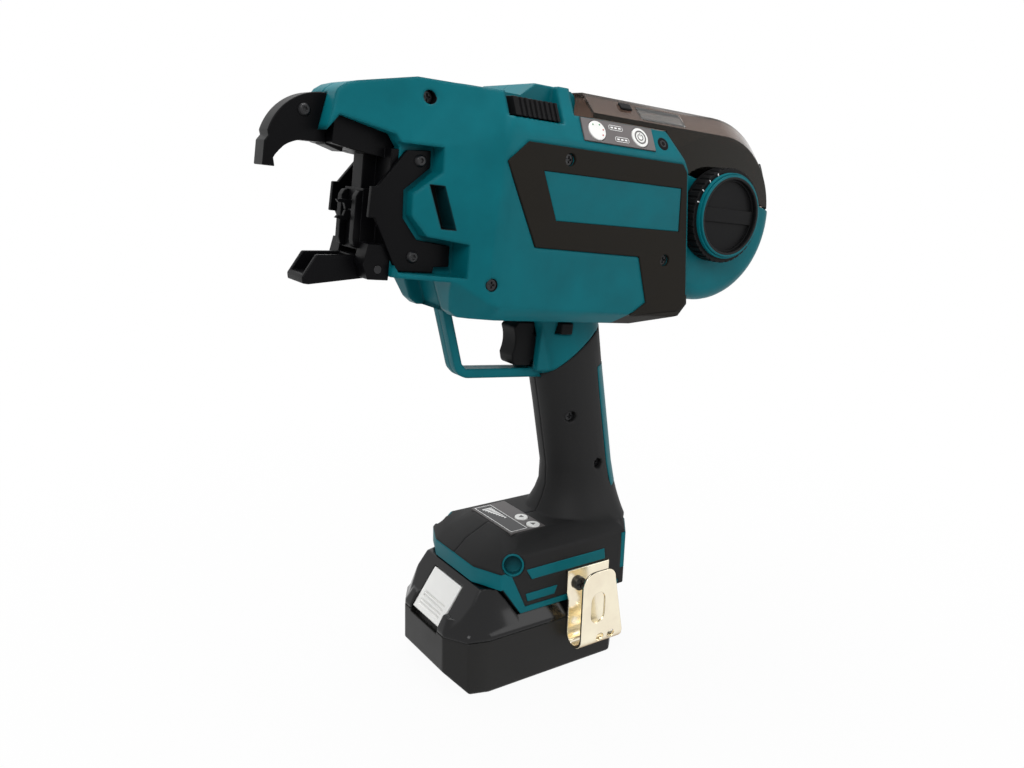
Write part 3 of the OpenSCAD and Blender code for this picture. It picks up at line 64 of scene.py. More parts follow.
# What is joined in a solid's mesh before its edges are rounded: points this near, and faces this flat
MERGE_WITHIN = 0.002 * MM
FLAT_WITHIN = math.radians(0.6)
# How often a rounding is tried, and how many radii a new corner may stray from the old ones
ROUNDING_TRIES = 6
STRAY_RADII = 4
# What counts as a fold and as a sliver of a face
FOLDED = math.radians(170)
SLIVER = 1e-4 * MM * MM
# Edges this near to a sliding piece are not rounded
SLIDE_REACH = 4 * MM
# Edges flatter than this are shaded smooth, on pieces and on the wound wire
SMOOTH_BELOW = math.radians(32)
WIRE_SMOOTH_BELOW = math.radians(80)

# Printed marks: the share of the height that is broken off their edges, and how far a disc narrows
MARK_EDGE = 0.3
MARK_TAPER = 0.97

# Which body carries a node
BODY_OF = {node: body for body, nodes in frame["record"]["behaviour"]["bodies"].items() for node in nodes}

# The barrel's own frame: u along it, y across, w up, as the solids are drawn
ZERO_X = 9 * MM
BARREL_Z = 205 * MM
BARREL_TILT = math.radians(5.7)
BARREL = Matrix.Translation((ZERO_X, 0, BARREL_Z)) @ Matrix.Rotation(BARREL_TILT, 4, "Y")
# The leaning flank that carries the keypad: u along it, v up the slope, n out of it
FLANK_FOOT = (0, -42 * MM, 94.5 * MM)
FLANK_LEAN = math.radians(61)
LEAN = BARREL @ Matrix.Translation(FLANK_FOOT) @ Matrix.Rotation(FLANK_LEAN, 4, "X")
# The foot and handle are drawn from the barrel's zero point, without the tilt
FOOT = Matrix.Translation((ZERO_X, 0, 0))
# The reel's axle, and a frame on the knob's side whose z points out of the tool
REEL_AXLE = (102 * MM, 0, 67 * MM)
REEL = BARREL @ Matrix.Translation(REEL_AXLE)
KNOB = REEL @ Matrix.Rotation(math.radians(90), 4, "X")

# Axes of the housing's screw wells in the barrel's frame, in mm along u and w; inside them the teal is
# painted black as shade
SCREW_WELLS = ((-14.5, 86), (59.5, 39), (-53, 20.8), (-87.5, 106.5))
WELL_RADIUS = 3.3 * MM

# The slanted slot's four sides in the barrel's frame: the way into the slot, and where it starts in mm
SLANTED_SLOT = (
    ((0.944, 0, 0.33), -60.7), ((-0.944, 0, -0.33), 53.5), ((0, 0, 1), 45.5), ((0, 0, -1), -66.5),
)
# The slot's inside, painted black as shade, lies nearer to the seam than this
SLOT_DEPTH_Y = 41.2 * MM

# Planes round the dark belly behind the handle, given in the same way
BELLY_FRONT = ((1, 0, -1.2), 29)
BELLY_UNDER = ((0.12, 0, -1), -4.3)
BELLY_BEHIND = ((1.2, 0, -1), 76)
BELLY_FLOOR = ((0, 0, 1), 0.5)

# The knob's teal collar lies past this height and radius, and its ring is black inside the last one
COLLAR_HEIGHT = 43.8 * MM
COLLAR_RADIUS = 23.1 * MM
RING_INSIDE = 22.2 * MM

# The reel cover's sides start this far from the seam; there the tint is painted nearly black as shade
COVER_SIDE_Y = 33.6 * MM


class ToolFinish(PropertyGroup):
    """Colours and surface sizes of the tool."""

    teal: FloatVectorProperty(
        name="Teal", description="Colour of the housing", subtype="COLOR", size=3, min=0, max=1,
        default=(0.0005, 0.116, 0.142))
    grip: FloatVectorProperty(
        name="Grip black", description="Colour of the handle's elastomer", subtype="COLOR", size=3, min=0,
        max=1, default=(0.0080, 0.0080, 0.0083))
    panel: FloatVectorProperty(
        name="Panel grey", description="Colour of the side panels", subtype="COLOR", size=3, min=0, max=1,
        default=(0.0125, 0.0108, 0.0085))
    jaw: FloatVectorProperty(
        name="Jaw black", description="Colour of the blackened jaw metal", subtype="COLOR", size=3, min=0,
        max=1, default=(0.0025, 0.0025, 0.0030))
    nickel: FloatVectorProperty(
        name="Nickel", description="Colour of the belt hook's plating", subtype="COLOR", size=3, min=0, max=1,
        default=(0.96, 0.85, 0.67))
    smoke: FloatVectorProperty(
        name="Smoke", description="Tint of the reel cover", subtype="COLOR", size=3, min=0, max=1,
        default=(0.33, 0.26, 0.225))
    spool: FloatVectorProperty(
        name="Spool red", description="Colour of the wire spool", subtype="COLOR", size=3, min=0, max=1,
        default=(0.33, 0.045, 0.03))
    edge_round: FloatProperty(
        name="Edge rounding", description="Softness of the moulded edges in the shading", unit="LENGTH",
        default=1.2 * MM, min=0.1 * MM, max=4 * MM)
    # How far the metal's edges are painted bright, partly as wear and partly as painted highlight
    wear_and_highlight: FloatProperty(
        name="Edge wear", description="How far the edges of the metal are rubbed bright", subtype="FACTOR",
        default=0.35, min=0, max=1)


class ToolPieces(PropertyGroup):
    """Sizes of the pieces that are added or rounded."""

    crease: FloatProperty(
        name="Crease angle", description="Edges sharper than this are rounded", subtype="ANGLE",
        default=math.radians(28), min=math.radians(10), max=math.radians(80))
    print_height: FloatProperty(
        name="Print height", description="Thickness of the printed marks", unit="LENGTH",
        default=0.12 * MM, min=0.02 * MM, max=0.4 * MM)
    wire_turns: IntProperty(
        name="Wire turns", description="Turns of wire on the spool's outer layer", default=31, min=24, max=33)
    wire_steps: IntProperty(
        name="Wire steps", description="Steps along one turn of wire", default=44, min=24, max=64)


class ToolStage(PropertyGroup):
    """Camera and light."""

    camera_place: FloatVectorProperty(
        name="Camera", description="Place of the camera", subtype="TRANSLATION", size=3,
        default=(-0.2877, -0.4193, 0.3009))
    camera_turn: FloatVectorProperty(
        name="Camera turn", description="Yaw, pitch and roll of the camera", subtype="EULER", size=3,
        default=(math.radians(-33.39), math.radians(-13.98), math.radians(1.47)))
    focal_length: FloatProperty(
        name="Focal length", description="Lens on a 36 mm wide sensor, in mm", default=32.3, min=10, max=200)
    key_power: FloatProperty(
        name="Key light", description="Power of the large soft lamp above the camera's left", unit="POWER",
        default=9.0, min=0, max=200)
    fill_power: FloatProperty(
        name="Fill light", description="Power of the soft lamp on the camera's right", unit="POWER",
        default=3.5, min=0, max=200)
    top_power: FloatProperty(
        name="Top light", description="Power of the soft box over the tool", unit="POWER",
        default=16.0, min=0, max=200)
    room_light: FloatProperty(
        name="Room light", description="Even light from all round", default=0.38, min=0, max=2)


# Node groups for effects that several finishes share


def new_group(name, inputs, outputs):
    """A shader node group with named float inputs and named outputs of the given socket kinds."""
    group = bpy.data.node_groups.new(name, "ShaderNodeTree")
    for label, default in inputs:
        socket = group.interface.new_socket(label, in_out="INPUT", socket_type="NodeSocketFloat")
        socket.default_value = default
    for label, kind in outputs:
        group.interface.new_socket(label, in_out="OUTPUT", socket_type=kind)
    entry = group.nodes.new("NodeGroupInput")
    leave = group.nodes.new("NodeGroupOutput")
    return group, entry, leave


def add(tree, kind, settings=None, **values):
    """Adds a node, sets its properties from settings and its input sockets from values."""
    node = tree.nodes.new(kind)
    for key, value in (settings or {}).items():
        setattr(node, key, value)
    for key, value in values.items():
        node.inputs[key.replace("_", " ")].default_value = value
    return node


def scaled_noise(tree, entry, socket, detail, roughness, factor=1.0):
    """A noise on Object coordinates whose scale is a group input times a factor."""
    place = add(tree, "ShaderNodeTexCoord")
    times = add(tree, "ShaderNodeMath", {"operation": "MULTIPLY"})
    times.inputs[1].default_value = factor
    noise = add(tree, "ShaderNodeTexNoise", Detail=detail, Roughness=roughness)
    tree.links.new(entry.outputs[socket], times.inputs[0])
    tree.links.new(times.outputs[0], noise.inputs["Scale"])
    tree.links.new(place.outputs["Object"], noise.inputs["Vector"])
    return noise


def build_moulded_grain():
    """Fine spark-eroded grain of a moulded surface, and the broad mottle of its gloss."""
    group, entry, leave = new_group(
        "Moulded grain", [("Scale", 1800.0)],
        [("Height", "NodeSocketFloat"), ("Mottle", "NodeSocketFloat")])
    links = group.links
    fine = scaled_noise(group, entry, "Scale", detail=2.0, roughness=0.6)
    cells = add(group, "ShaderNodeTexVoronoi", {"feature": "SMOOTH_F1"}, Smoothness=0.6)
    place = add(group, "ShaderNodeTexCoord")
    links.new(place.outputs["Object"], cells.inputs["Vector"])
    links.new(entry.outputs["Scale"], cells.inputs["Scale"])
    both = add(group, "ShaderNodeMath", {"operation": "MULTIPLY"})
    links.new(fine.outputs["Fac"], both.inputs[0])
    links.new(cells.outputs["Distance"], both.inputs[1])
    broad = scaled_noise(group, entry, "Scale", detail=3.0, roughness=0.55, factor=0.03)
    links.new(both.outputs[0], leave.inputs["Height"])
    links.new(broad.outputs["Fac"], leave.inputs["Mottle"])
    return group


def build_soft_edges():
    """Normals rounded over the edges, and a mask of the edges that are painted paler, partly as wear and
    partly as painted highlight.
    """
    group, entry, leave = new_group(
        "Soft edges", [("Radius", 1.0 * MM), ("Breakup", 260.0)],
        [("Normal", "NodeSocketVector"), ("Rub and highlight", "NodeSocketFloat")])
    links = group.links
    bevel = add(group, "ShaderNodeBevel", {"samples": 4})
    surface = add(group, "ShaderNodeNewGeometry")
    links.new(entry.outputs["Radius"], bevel.inputs["Radius"])
    links.new(bevel.outputs["Normal"], leave.inputs["Normal"])
    dot = add(group, "ShaderNodeVectorMath", {"operation": "DOT_PRODUCT"})
    links.new(bevel.outputs["Normal"], dot.inputs[0])
    links.new(surface.outputs["True Normal"], dot.inputs[1])
    edge = add(
        group, "ShaderNodeMapRange", {"interpolation_type": "SMOOTHSTEP"}, From_Min=0.97, From_Max=0.80)
    links.new(dot.outputs["Value"], edge.inputs["Value"])
    broken = scaled_noise(group, entry, "Breakup", detail=4.0, roughness=0.6)
    patchy = add(group, "ShaderNodeMapRange", From_Min=0.42, From_Max=0.66)
    links.new(broken.outputs["Fac"], patchy.inputs["Value"])
    # Patchy mask of the edges: wear, and also painted highlight along them
    rub_and_highlight = add(group, "ShaderNodeMath", {"operation": "MULTIPLY"})
    links.new(edge.outputs["Result"], rub_and_highlight.inputs[0])
    links.new(patchy.outputs["Result"], rub_and_highlight.inputs[1])
    links.new(rub_and_highlight.outputs[0], leave.inputs["Rub and highlight"])
    return group


def build_brushed_streaks():
    """Fine streaks drawn along the piece's height, as brushing or rolling leaves them."""
    group, entry, leave = new_group(
        "Brushed streaks", [("Scale", 900.0)],
        [("Height", "NodeSocketFloat"), ("Tone", "NodeSocketFloat")])
    links = group.links
    place = add(group, "ShaderNodeTexCoord")
    stretch = add(group, "ShaderNodeMapping", Scale=(1.0, 1.0, 0.04))
    streak = add(group, "ShaderNodeTexNoise", Detail=3.0, Roughness=0.65)
    links.new(place.outputs["Object"], stretch.inputs["Vector"])
    links.new(stretch.outputs["Vector"], streak.inputs["Vector"])
    links.new(entry.outputs["Scale"], streak.inputs["Scale"])
    stain = scaled_noise(group, entry, "Scale", detail=4.0, roughness=0.6, factor=0.05)
    links.new(streak.outputs["Fac"], leave.inputs["Height"])
    links.new(stain.outputs["Fac"], leave.inputs["Tone"])
    return group


def shared_group(name):
    """One of the shared node groups, built when it is first asked for."""
    makers = {
        "Moulded grain": build_moulded_grain,
        "Soft edges": build_soft_edges,
        "Brushed streaks": build_brushed_streaks,
    }
    return bpy.data.node_groups.get(name) or makers[name]()


class Finish:
    """A material being put together round its Principled shader."""

    # The span of a mottle over which a colour or a gloss is spread
    mottle_low = 0.3
    mottle_high = 0.7

    def __init__(self, name):
        self.material = bpy.data.materials.new(name)
        self.material.use_nodes = True
        self.tree = self.material.node_tree
        self.shader = self.tree.nodes["Principled BSDF"]

    def set(self, **values):
        """Sets plain numbers and colours on the shader's own sockets."""
        for key, value in values.items():
            self.shader.inputs[key.replace("_", " ")].default_value = value

    def link(self, source, target):
        """Joins an output socket to an input socket."""
        self.tree.links.new(source, target)

    def effect(self, name, **values):
        """Places a shared effect with its own values."""
        node = self.tree.nodes.new("ShaderNodeGroup")
        node.node_tree = shared_group(name)
        for key, value in values.items():
            node.inputs[key].default_value = value
        return node

    def tint(self, mask, dark, light):
        """A colour that runs from dark to light over the mottle of the mask."""
        ramp = self.tree.nodes.new("ShaderNodeValToRGB")
        ramp.color_ramp.elements[0].position = self.mottle_low
        ramp.color_ramp.elements[1].position = self.mottle_high
        ramp.color_ramp.elements[0].color = (*dark, 1)
        ramp.color_ramp.elements[1].color = (*light, 1)
        self.link(mask, ramp.inputs["Fac"])
        return ramp.outputs["Color"]

    def paint(self, colour):
        """Makes a colour that changes over the surface the base colour."""
        self.link(colour, self.shader.inputs["Base Color"])

    def blend(self, base, mask, colour):
        """Paints the base, with a plain colour over it where the mask is one."""
        mix = self.tree.nodes.new("ShaderNodeMix")
        mix.data_type = "RGBA"
        mix.inputs["B"].default_value = (*colour, 1)
        self.link(mask, mix.inputs["Factor"])
        self.link(base, mix.inputs["A"])
        self.paint(mix.outputs["Result"])

    def worn_and_highlit(self, base, mask, amount, bright):
        """Paints the base, with a share of a brighter colour along the edges, partly as wear and partly as
        painted highlight.
        """
        part = add(self.tree, "ShaderNodeMath", {"operation": "MULTIPLY"})
        part.inputs[1].default_value = amount
        self.link(mask, part.inputs[0])
        self.blend(base, part.outputs[0], bright)

    def cover(self, mask, colour):
        """Lays another colour over what is painted, where the mask is one."""
        painted = self.shader.inputs["Base Color"].links[0].from_socket
        self.blend(painted, mask, colour)

    def local(self, place):
        """Object coordinates turned into the frame of place."""
        spot = add(self.tree, "ShaderNodeTexCoord")
        turned = add(
            self.tree, "ShaderNodeMapping", {"vector_type": "TEXTURE"}, Location=place.translation,
            Rotation=place.to_euler())
        self.link(spot.outputs["Object"], turned.inputs["Vector"])
        return turned.outputs["Vector"]

    def past(self, value, limit, blur=0.3 * MM):
        """A mask that is one where the value is past the limit, or short of it with a blur below zero."""
        step = add(self.tree, "ShaderNodeMapRange", From_Min=limit, From_Max=limit + blur)
        self.link(value, step.inputs["Value"])
        return step.outputs["Result"]

    def beyond(self, place, direction, limit):
        """A mask that is one beyond a plane given in the frame of place."""
        reach = add(self.tree, "ShaderNodeVectorMath", {"operation": "DOT_PRODUCT"})
        reach.inputs[1].default_value = direction
        self.link(self.local(place), reach.inputs[0])
        return self.past(reach.outputs["Value"], limit)

    def around(self, place, flat, radius, blur, centre=(0, 0, 0)):
        """A mask of the distance from an axis, or from a plane; flat has a zero where they run."""
        pressed = add(self.tree, "ShaderNodeVectorMath", {"operation": "MULTIPLY"})
        pressed.inputs[1].default_value = flat
        reach = add(self.tree, "ShaderNodeVectorMath", {"operation": "DISTANCE"})
        reach.inputs[1].default_value = centre
        self.link(self.local(place), pressed.inputs[0])
        self.link(pressed.outputs["Vector"], reach.inputs[0])
        return self.past(reach.outputs["Value"], radius, blur)

    def combine(self, operation, first, second):
        """Two masks made into one."""
        both = add(self.tree, "ShaderNodeMath", {"operation": operation})
        self.link(first, both.inputs[0])
        self.link(second, both.inputs[1])
        return both.outputs[0]

    def gloss(self, mask, low, high):
        """Spreads the roughness between two values over the mottle of the mask."""
        spread = add(
            self.tree, "ShaderNodeMapRange", From_Min=self.mottle_low, From_Max=self.mottle_high, To_Min=low,
            To_Max=high)
        self.link(mask, spread.inputs["Value"])
        self.link(spread.outputs["Result"], self.shader.inputs["Roughness"])

    def relief(self, height, strength, distance, normal):
        """Turns a height into bump on rounded normals."""
        bump = add(self.tree, "ShaderNodeBump", Strength=strength, Distance=distance)
        self.link(height, bump.inputs["Height"])
        self.link(normal, bump.inputs["Normal"])
        self.link(bump.outputs["Normal"], self.shader.inputs["Normal"])


def shade(colour, factor):
    """A colour made darker or lighter."""
    return tuple(min(1.0, channel * factor) for channel in colour)


def moulded(
        name, colour, grain, depth, rough, edge, bright=1.35, rub_and_highlight=0.25, spread=0.05, tone=0.10, specular=0.5):
    """A moulded plastic or elastomer: grain, mottled gloss and slightly paler edges, partly wear and partly
    painted highlight.
    """
    finish = Finish(name)
    skin = finish.effect("Moulded grain", Scale=grain)
    edges = finish.effect("Soft edges", Radius=edge)
    base = finish.tint(skin.outputs["Mottle"], shade(colour, 1 - tone), shade(colour, 1 + tone))
    finish.worn_and_highlit(base, edges.outputs["Rub and highlight"], rub_and_highlight, shade(colour, bright))
    finish.gloss(skin.outputs["Mottle"], rough - spread, rough + spread)
    finish.relief(skin.outputs["Height"], strength=0.35, distance=depth, normal=edges.outputs["Normal"])
    finish.set(Specular_IOR_Level=specular)
    return finish


def metal(
        name, colour, rough, edge, bright, rub_and_highlight, metallic=1.0, scale=900.0, depth=0.02 * MM, specular=0.5):
    """A metal with drawn streaks, a stained tone and bright edges, partly wear and partly painted highlight.
    """
    finish = Finish(name)
    streaks = finish.effect("Brushed streaks", Scale=scale)
    edges = finish.effect("Soft edges", Radius=edge)
    base = finish.tint(streaks.outputs["Tone"], dark=shade(colour, 0.88), light=shade(colour, 1.1))
    finish.worn_and_highlit(base, edges.outputs["Rub and highlight"], rub_and_highlight, bright)
    finish.gloss(streaks.outputs["Tone"], low=rough - 0.05, high=rough + 0.06)
    finish.relief(streaks.outputs["Height"], strength=0.25, distance=depth, normal=edges.outputs["Normal"])
    finish.set(Metallic=metallic, Specular_IOR_Level=specular)
    return finish


# Finishes, one function each

PLASTIC_BLACK = (0.0065, 0.0065, 0.007)


def teal_skin(name, look, soft=1.0):
    """The tool's teal plastic; soft widens the shaded rounding of its edges."""
    return moulded(
        name, look.teal, grain=1500, depth=0.05 * MM, rough=0.42, edge=look.edge_round * soft, bright=1.5,
        rub_and_highlight=0.3, specular=0.11)


def teal_moulding(look):
    return teal_skin("Teal moulding", look).material


def housing_moulding(look):
    """Teal, with a belly in the panels' dark elastomer behind the handle, and black painted as shade inside
    the screw wells and the slanted slot.
    """
    finish = teal_skin("Housing moulding", look, soft=2.2)
    front, under, behind, floor = (
        finish.beyond(BARREL, direction, limit * MM)
        for direction, limit in (BELLY_FRONT, BELLY_UNDER, BELLY_BEHIND, BELLY_FLOOR)
    )
    belly = finish.combine("MULTIPLY", front, finish.combine("MAXIMUM", under, behind))
    finish.cover(finish.combine("MULTIPLY", belly, floor), look.panel)
    # Painted shade: the insides of the screw wells are painted black
    for u, w in SCREW_WELLS:
        well = finish.around(BARREL, (1, 0, 1), WELL_RADIUS, -0.05 * MM, centre=(u * MM, 0, w * MM))
        finish.cover(well, look.jaw)
    # Painted shade: the inside of the slanted slot is painted black
    slot_shade = finish.around(BARREL, (0, 1, 0), SLOT_DEPTH_Y, -0.3 * MM)
    for direction, limit in SLANTED_SLOT:
        slot_shade = finish.combine("MULTIPLY", slot_shade, finish.beyond(BARREL, direction, limit * MM))
    finish.cover(slot_shade, look.jaw)
    return finish.material


def grip_elastomer(look):
    return moulded(
        "Grip elastomer", look.grip, grain=950, depth=0.12 * MM, rough=0.58, edge=2 * look.edge_round,
        bright=1.9, rub_and_highlight=0.3, spread=0.06, tone=0.15, specular=0.2).material


def panel_elastomer(look):
    return moulded(
        "Panel elastomer", look.panel, grain=1200, depth=0.09 * MM, rough=0.6, edge=0.7 * MM, bright=1.7,
        rub_and_highlight=0.4, spread=0.07, tone=0.16, specular=0.09).material


def jaw_metal(look):
    # The bright edges are partly wear and partly painted highlight along the jaw's edges
    return metal(
        "Blackened jaw metal", look.jaw, rough=0.36, edge=0.6 * MM, bright=(0.06, 0.06, 0.065), rub_and_highlight=look.wear_and_highlight,
        metallic=0.0, specular=0.07).material


def black_oxide(look):
    return metal(
        "Black oxide screw", shade(look.jaw, 2.6), rough=0.33, edge=0.35 * MM, bright=(0.16, 0.15, 0.15),
        rub_and_highlight=0.5, metallic=0.2, specular=0.4).material


def bright_steel(look):
    return metal(
        "Machined steel", (0.33, 0.335, 0.34), rough=0.34, edge=0.4 * MM, bright=(0.5, 0.5, 0.5),
        rub_and_highlight=look.wear_and_highlight).material


def wire_steel(look):
    return metal(
        "Annealed wire", (0.15, 0.14, 0.13), rough=0.42, edge=0.2 * MM, bright=(0.3, 0.3, 0.3), rub_and_highlight=0.3,
        scale=1200.0).material


def cast_alloy(look):
    finish = moulded(
        "Cast alloy", (0.42, 0.42, 0.44), grain=1400, depth=0.1 * MM, rough=0.45, edge=0.6 * MM, bright=1.3,
        rub_and_highlight=0.5)
    finish.set(Metallic=1.0)
    return finish.material


def drawn_brass(look):
    return metal(
        "Drawn brass", (0.72, 0.53, 0.24), rough=0.25, edge=0.3 * MM, bright=(0.9, 0.75, 0.45),
        rub_and_highlight=0.3).material


def nickel_plate(look):
    finish = metal(
        "Warm nickel plate", look.nickel, rough=0.17, edge=0.5 * MM, bright=(0.98, 0.92, 0.8), rub_and_highlight=0.5,
        scale=700.0, depth=0.012 * MM)
    finish.set(Specular_Tint=(0.45, 0.36, 0.30, 1))
    return finish.material


def black_skin(name, edge):
    """The black plastic of trigger, lever, cover lip and knob."""
    return moulded(
        name, PLASTIC_BLACK, grain=1700, depth=0.05 * MM, rough=0.44, edge=edge, bright=2.4, rub_and_highlight=0.35,
        specular=0.07)


def black_moulding(look):
    return black_skin("Black moulding", 0.6 * MM).material


def knob_moulding(look):
    """Black, with the collar round the teal ring moulded in teal as well."""
    finish = black_skin("Knob moulding", 0.4 * MM)
    raised = finish.beyond(KNOB, (0, 0, 1), COLLAR_HEIGHT)
    outer = finish.around(KNOB, (1, 1, 0), COLLAR_RADIUS, 0.05 * MM)
    finish.cover(finish.combine("MULTIPLY", raised, outer), look.teal)
    return finish.material


def ring_moulding(look):
    """Teal outside, and black like the knob's face inside."""
    finish = teal_skin("Ring moulding", look)
    finish.cover(finish.around(KNOB, (1, 1, 0), RING_INSIDE, -0.1 * MM), PLASTIC_BLACK)
    return finish.material


def battery_case_moulding(look):
    return moulded(
        "Battery case moulding", (0.0085, 0.0082, 0.0078), grain=1300, depth=0.05 * MM, rough=0.38,
        edge=look.edge_round, bright=2.0, rub_and_highlight=0.3, specular=0.22).material


def battery_gloss(look):
    finish = moulded(
        "Polished black", (0.003, 0.003, 0.0035), grain=500, depth=0.01 * MM, rough=0.13, edge=1.6 * MM,
        bright=2.2, rub_and_highlight=0.2, spread=0.04, specular=0.24)
    finish.set(Coat_Weight=0.12, Coat_Roughness=0.06)
    return finish.material


def pale_moulding(look):
    return moulded(
        "Pale moulding", (0.82, 0.82, 0.80), grain=1500, depth=0.03 * MM, rough=0.38, edge=0.6 * MM,
        bright=1.1, rub_and_highlight=0.3, tone=0.02).material


def key_moulding(look):
    return moulded(
        "White key", (0.80, 0.80, 0.78), grain=1600, depth=0.02 * MM, rough=0.35, edge=0.5 * MM, bright=1.1,
        rub_and_highlight=0.3, tone=0.03).material


def foil(name, colour, specular):
    """The smooth foil of keypad and display."""
    return moulded(
        name, colour, grain=2200, depth=0.02 * MM, rough=0.34, edge=0.4 * MM, bright=1.3, rub_and_highlight=0.3,
        spread=0.06, tone=0.06, specular=specular)


def foil_grey(look):
    return foil("Grey foil", (0.118, 0.106, 0.106), specular=0.5).material


def foil_dark(look):
    return foil("Dark foil", (0.072, 0.066, 0.066), specular=0.3).material


def screen_black(look):
    finish = moulded(
        "Screen", (0.022, 0.022, 0.024), grain=600, depth=0.005 * MM, rough=0.14, edge=0.2 * MM, bright=1.4,
        rub_and_highlight=0.1, spread=0.03, tone=0.08, specular=0.2)
    finish.set(Coat_Weight=0.1, Coat_Roughness=0.08)
    return finish.material


def ink(name, colour, bright, tone):
    """A matt printed mark."""
    return moulded(
        name, colour, grain=3000, depth=0.01 * MM, rough=0.5, edge=0.1 * MM, bright=bright, rub_and_highlight=0.2,
        tone=tone)


def printed_white(look):
    return ink("White print", (0.84, 0.84, 0.83), bright=1.05, tone=0.03).material


def printed_grey(look):
    return ink("Grey print", (0.09, 0.085, 0.085), bright=1.2, tone=0.05).material


def lamp_dot(name, colour):
    """A small glossy lamp that is not lit."""
    return moulded(
        name, colour, grain=2000, depth=0.01 * MM, rough=0.25, edge=0.1 * MM, bright=1.2, rub_and_highlight=0.2)


def lamp_green(look):
    return lamp_dot("Green lamp", (0.05, 0.32, 0.10)).material


def lamp_red(look):
    return lamp_dot("Red lamp", (0.45, 0.04, 0.03)).material


def spool_red(look):
    return moulded(
        "Spool red", look.spool, grain=900, depth=0.04 * MM, rough=0.4, edge=0.6 * MM, bright=1.4,
        rub_and_highlight=0.3).material


def board_green(look):
    return moulded(
        "Circuit board", (0.02, 0.09, 0.05), grain=700, depth=0.05 * MM, rough=0.4, edge=0.3 * MM, bright=1.4,
        rub_and_highlight=0.3).material


def cell_sleeve(look):
    return moulded(
        "Cell sleeve", (0.10, 0.20, 0.42), grain=800, depth=0.02 * MM, rough=0.3, edge=0.5 * MM, bright=1.3,
        rub_and_highlight=0.2).material


def clear_skin(name, grain, dark, light, smooth, scuffed):
    """A clear plastic with a mottled tint and a gloss that is scuffed in places."""
    finish = Finish(name)
    skin = finish.effect("Moulded grain", Scale=grain)
    finish.paint(finish.tint(skin.outputs["Mottle"], dark, light))
    finish.gloss(skin.outputs["Mottle"], smooth, scuffed)
    return finish


def smoked_clear(look):
    """Tinted cover, with its sides painted nearly black as shade."""
    finish = clear_skin(
        "Smoked clear", grain=500.0, dark=shade(look.smoke, 0.9), light=shade(look.smoke, 1.08), smooth=0.06,
        scuffed=0.13)
    # Painted shade: the cover's sides are darkened nearly to black
    sides = finish.around(BARREL, (0, 1, 0), COVER_SIDE_Y, 0.2 * MM)
    finish.cover(sides, shade(look.smoke, 0.002))
    finish.set(Transmission_Weight=0.94, IOR=1.27, Specular_Tint=(0.40, 0.36, 0.29, 1))
    return finish.material


def window_clear(look):
    finish = clear_skin(
        "Clear window", grain=400.0, dark=(0.36, 0.37, 0.36), light=(0.42, 0.43, 0.42), smooth=0.03,
        scuffed=0.09)
    finish.set(Transmission_Weight=0.95, IOR=1.35)
    return finish.material


FINISHES = {
    maker.__name__: maker
    for maker in (
        teal_moulding, housing_moulding, grip_elastomer, panel_elastomer, jaw_metal, black_oxide,
        bright_steel, wire_steel, cast_alloy, drawn_brass, nickel_plate, black_moulding, knob_moulding,
        ring_moulding, battery_case_moulding, battery_gloss, pale_moulding, key_moulding, foil_grey,
        foil_dark, screen_black, printed_white, printed_grey, lamp_green, lamp_red, spool_red, board_green,
        cell_sleeve, smoked_clear, window_clear,
    )
}
made_finishes = {}


def finish_named(name):
    """The material of that finish, made once."""
    if name not in made_finishes:
        made_finishes[name] = FINISHES[name](bpy.context.scene.tool_finish)
    return made_finishes[name]


# Pieces


def new_piece(bm, name, body, finish, smooth=SMOOTH_BELOW):
    """Makes an object of a finished bmesh, with its finish and its body."""
    mesh = bpy.data.meshes.new(name)
    bm.normal_update()
    for face in bm.faces:
        face.smooth = True
    for edge in bm.edges:
        edge.smooth = len(edge.link_faces) == 2 and edge.calc_face_angle(0) < smooth
    bm.to_mesh(mesh)
    bm.free()
    piece = bpy.data.objects.new(name, mesh)
    bpy.context.scene.collection.objects.link(piece)
    mesh.materials.append(finish_named(finish))
    level = piece.modifiers.new("Level flats", "WEIGHTED_NORMAL")
    level.keep_sharp = True
    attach(piece, body)
    return piece


def cleaned(node):
    """A CAD node's mesh with its flats joined, and the numbers of its sharp outer edges."""
    bm = bmesh.new()
    bm.from_mesh(frame["nodes"][node].data)
    bmesh.ops.remove_doubles(bm, verts=bm.verts, dist=MERGE_WITHIN)
    bmesh.ops.dissolve_limit(bm, angle_limit=FLAT_WITHIN, verts=bm.verts, edges=bm.edges)
    bm.verts.index_update()
    bm.edges.ensure_lookup_table()
    bm.edges.index_update()
    crease = bpy.context.scene.tool_pieces.crease
    sharp = {
        edge.index for edge in bm.edges
        if len(edge.link_faces) == 2 and edge.is_convex and edge.calc_face_angle(0) > crease
    }
    return bm, sharp


def crossed(bm):
    """Numbers of the vertices of faces that cut through others or fold back on them."""
    probe = bm.copy()
    bmesh.ops.triangulate(probe, faces=probe.faces, ngon_method="EAR_CLIP")
    probe.verts.index_update()
    probe.faces.ensure_lookup_table()
    areas = [face.calc_area() for face in probe.faces]
    tree = BVHTree.FromBMesh(probe)
    wrong = set()
    for one, two in tree.overlap(tree):
        if one < two and not set(probe.faces[one].verts) & set(probe.faces[two].verts):
            smaller = one if areas[one] < areas[two] else two
            wrong.update(vert.index for vert in probe.faces[smaller].verts)
    for edge in probe.edges:
        if edge.calc_face_angle(0) > FOLDED and min(face.calc_area() for face in edge.link_faces) > SLIVER:
            wrong.update(vert.index for vert in edge.verts)
    probe.free()
    return wrong


def edges_beside(bm, node, reach):
    """Numbers of the edges that come within reach of another node's box."""
    corners = [vert.co for vert in frame["nodes"][node].data.vertices]
    low = [min(corner[axis] for corner in corners) - reach for axis in range(3)]
    high = [max(corner[axis] for corner in corners) + reach for axis in range(3)]
    return {
        edge.index for edge in bm.edges
        if any(all(low[axis] < vert.co[axis] < high[axis] for axis in range(3)) for vert in edge.verts)
    }


